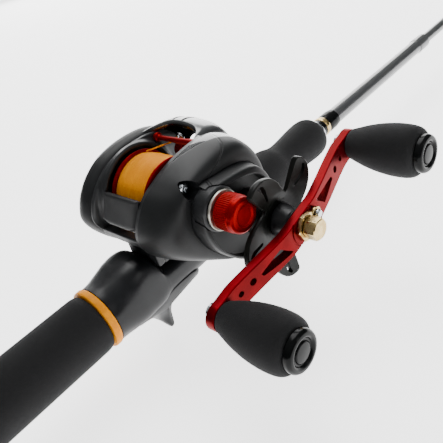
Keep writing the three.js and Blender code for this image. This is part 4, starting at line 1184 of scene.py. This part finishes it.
def buildNut():
    turn = crankArm["turn"]
    low, high = nodeBox("crank_nut")
    angle = np.linspace(0, 2 * math.pi, 96, endpoint=False)

    def hexRings(flats, levels):
        hexRadius = flats / 2 / np.cos(np.mod(angle + math.pi / 6, math.pi / 3) - math.pi / 6)
        rings = []
        for x, limit in levels:
            reach = np.minimum(hexRadius, limit)
            y, z = crankPoint(reach * np.cos(angle), reach * np.sin(angle), turn + 0.2)
            rings.append(np.column_stack([np.full(96, x), y, z]))
        return rings

    x0, x1 = low[0], high[0]
    levels = [(x0, 4.3), (x0 + 0.35, 4.62), (x1 - 0.9, 4.62), (x1 - 0.35, 4.2), (x1 - 0.05, 3.7), (x1, 3.2),
              (x1 - 0.1, 1.5)]
    loftPiece("gold crank nut", hexRings(8, levels), "gold", body=bodyOf("crank_nut"),
              replaces=("crank_nut",), sharp=25)
    low, high = nodeBox("nut_retainer")
    x0, x1 = low[0], high[0]
    levels = [(x0, 5.7), (x0 + 0.2, 6.0), (x1 - 0.3, 6.0), (x1, 5.6)]
    loftPiece("gold retainer plate", hexRings(10.5, levels), "gold", body=bodyOf("nut_retainer"),
              replaces=("nut_retainer",), sharp=25)
    lug = crankPoint(6.4, 0.9, turn)
    turnedPiece("retainer lug", rounded([[0, x0], [2.6, x0], [2.6, x1], [0, x1]], 0.3), "x", lug, "gold",
                48,
                body=bodyOf("nut_retainer"))
    head = [[0, x1 + 0.1], [1.7, x1 + 0.1], [1.75, x1 + 0.9], [1.4, x1 + 1.5], [0.7, x1 + 1.75],
            [0, x1 + 1.8]]
    turnedPiece("retainer screw", rounded(head, 0.3), "x", lug, "steel", 40, body=bodyOf("retainer_screw"),
                replaces=("retainer_screw",))


def buildSmallParts():
    head = [[0, 22.5], [2.5, 22.5], [2.55, 23.6], [2.2, 24.3], [1.4, 24.7], [0, 24.8]]
    screw = turnedPiece("side plate screw", rounded(head, 0.3), "x", screwPlace, "steel", 56,
                        replaces=("side_plate_screw",))
    y, z = screwPlace
    carved(screw, [softBlock("cutter", (24.0, 26), (y - a, y + a), (z - b, z + b), 0.1, "steel")
                   for a, b in ((1.5, 0.32), (0.32, 1.5))])
    low, high = nodeBox("brake_dial")
    x0 = low[0]
    centre = nodeMiddle("brake_dial")[1:]
    dial = [[0, x0 + 1.6], [6.4, x0 + 1.5], [7.4, x0 + 1.0], [8.6, x0 + 1.1], [9.0, x0 + 1.7],
            [9.0, high[0]], [0, high[0]]]
    profile = finer(rounded(dial, 0.4), 0.5)

    def notches(along, angle):
        return -0.25 * (np.cos(36 * angle) > 0.3) * (along < x0 + 2.4)

    turnedPiece("brake dial", profile, "x", centre, "gloss", 288, body="dial", replaces=("brake_dial",),
                wobble=notches)
    softBlock("brake dial grip", (x0, x0 + 2), (centre[0] - 1.3, centre[0] + 1.3),
              (centre[1] - 6.6, centre[1] + 6.6), 0.5,
              "gloss", body="dial")


# build everything
buildSeat()
buildHood()
buildBlank()
buildGuides()
buildCrankArm()
buildStar()
buildNut()
buildSmallParts()
buildHandle()
buildKnobs()
buildRightShell()
buildPalmShell()
buildFrame()
buildCowl()
buildThumbBar()
buildSpool()
buildLevelWind()
buildTension()
print("pieces built")


# stage
def makeStage():
    size = 3.0
    mesh = bpy.data.meshes.new("floor")
    low = cadBox[0][2] - 0.002
    mesh.from_pydata([(-size, -size, low), (size, -size, low), (size, size, low), (-size, size, low)], [],
                     [(0, 1, 2, 3)])
    floor = bpy.data.objects.new("floor", mesh)
    bpy.context.scene.collection.objects.link(floor)
    material, tree, bsdf = newMaterial("paper sweep", {"Base Color": toLinear("#fbfbfb"), "Roughness": 0.9})
    bsdf.inputs["Specular IOR Level"].default_value = 0.1
    bsdf.inputs["Emission Color"].default_value = (1, 1, 1, 1)
    bsdf.inputs["Emission Strength"].default_value = 2.4
    mesh.materials.append(material)
    world = bpy.data.worlds.new("studio")
    bpy.context.scene.world = world
    world.use_nodes = True
    tree = world.node_tree
    upward = addNode(tree, "ShaderNodeSeparateXYZ", None,
                     {0: addNode(tree, "ShaderNodeTexCoord").outputs["Generated"]})
    tone = rangeNode(tree, upward.outputs[2], 0.0, 0.9, 0.05, 0.55)
    tree.links.new(tone, tree.nodes["Background"].inputs["Strength"])
    tree.nodes["Background"].inputs["Color"].default_value = (0.97, 0.99, 1, 1)


def areaLight(name, place, target, size, power):
    data = bpy.data.lights.new(name, "AREA")
    data.shape = "RECTANGLE"
    data.size, data.size_y = size
    data.energy = power
    lamp = bpy.data.objects.new(name, data)
    bpy.context.scene.collection.objects.link(lamp)
    lamp.location = Vector(place)
    lamp.rotation_mode = "QUATERNION"
    lamp.rotation_quaternion = (Vector(place) - Vector(target)).to_track_quat("Z", "Y")


makeStage()
reelPlace = (0, spoolY * mm, spoolZ * mm)
areaLight("overhead softbox", (-0.25, spoolY * mm + 0.35, 0.9), reelPlace, (0.7, 0.7), 9)
areaLight("rim softbox", (-0.85, spoolY * mm + 0.85, 0.39), reelPlace, (1.3, 0.74), 17)
areaLight("side softbox", (0.9, spoolY * mm + 0.3, 0.5), reelPlace, (0.3, 0.6), 1.0)
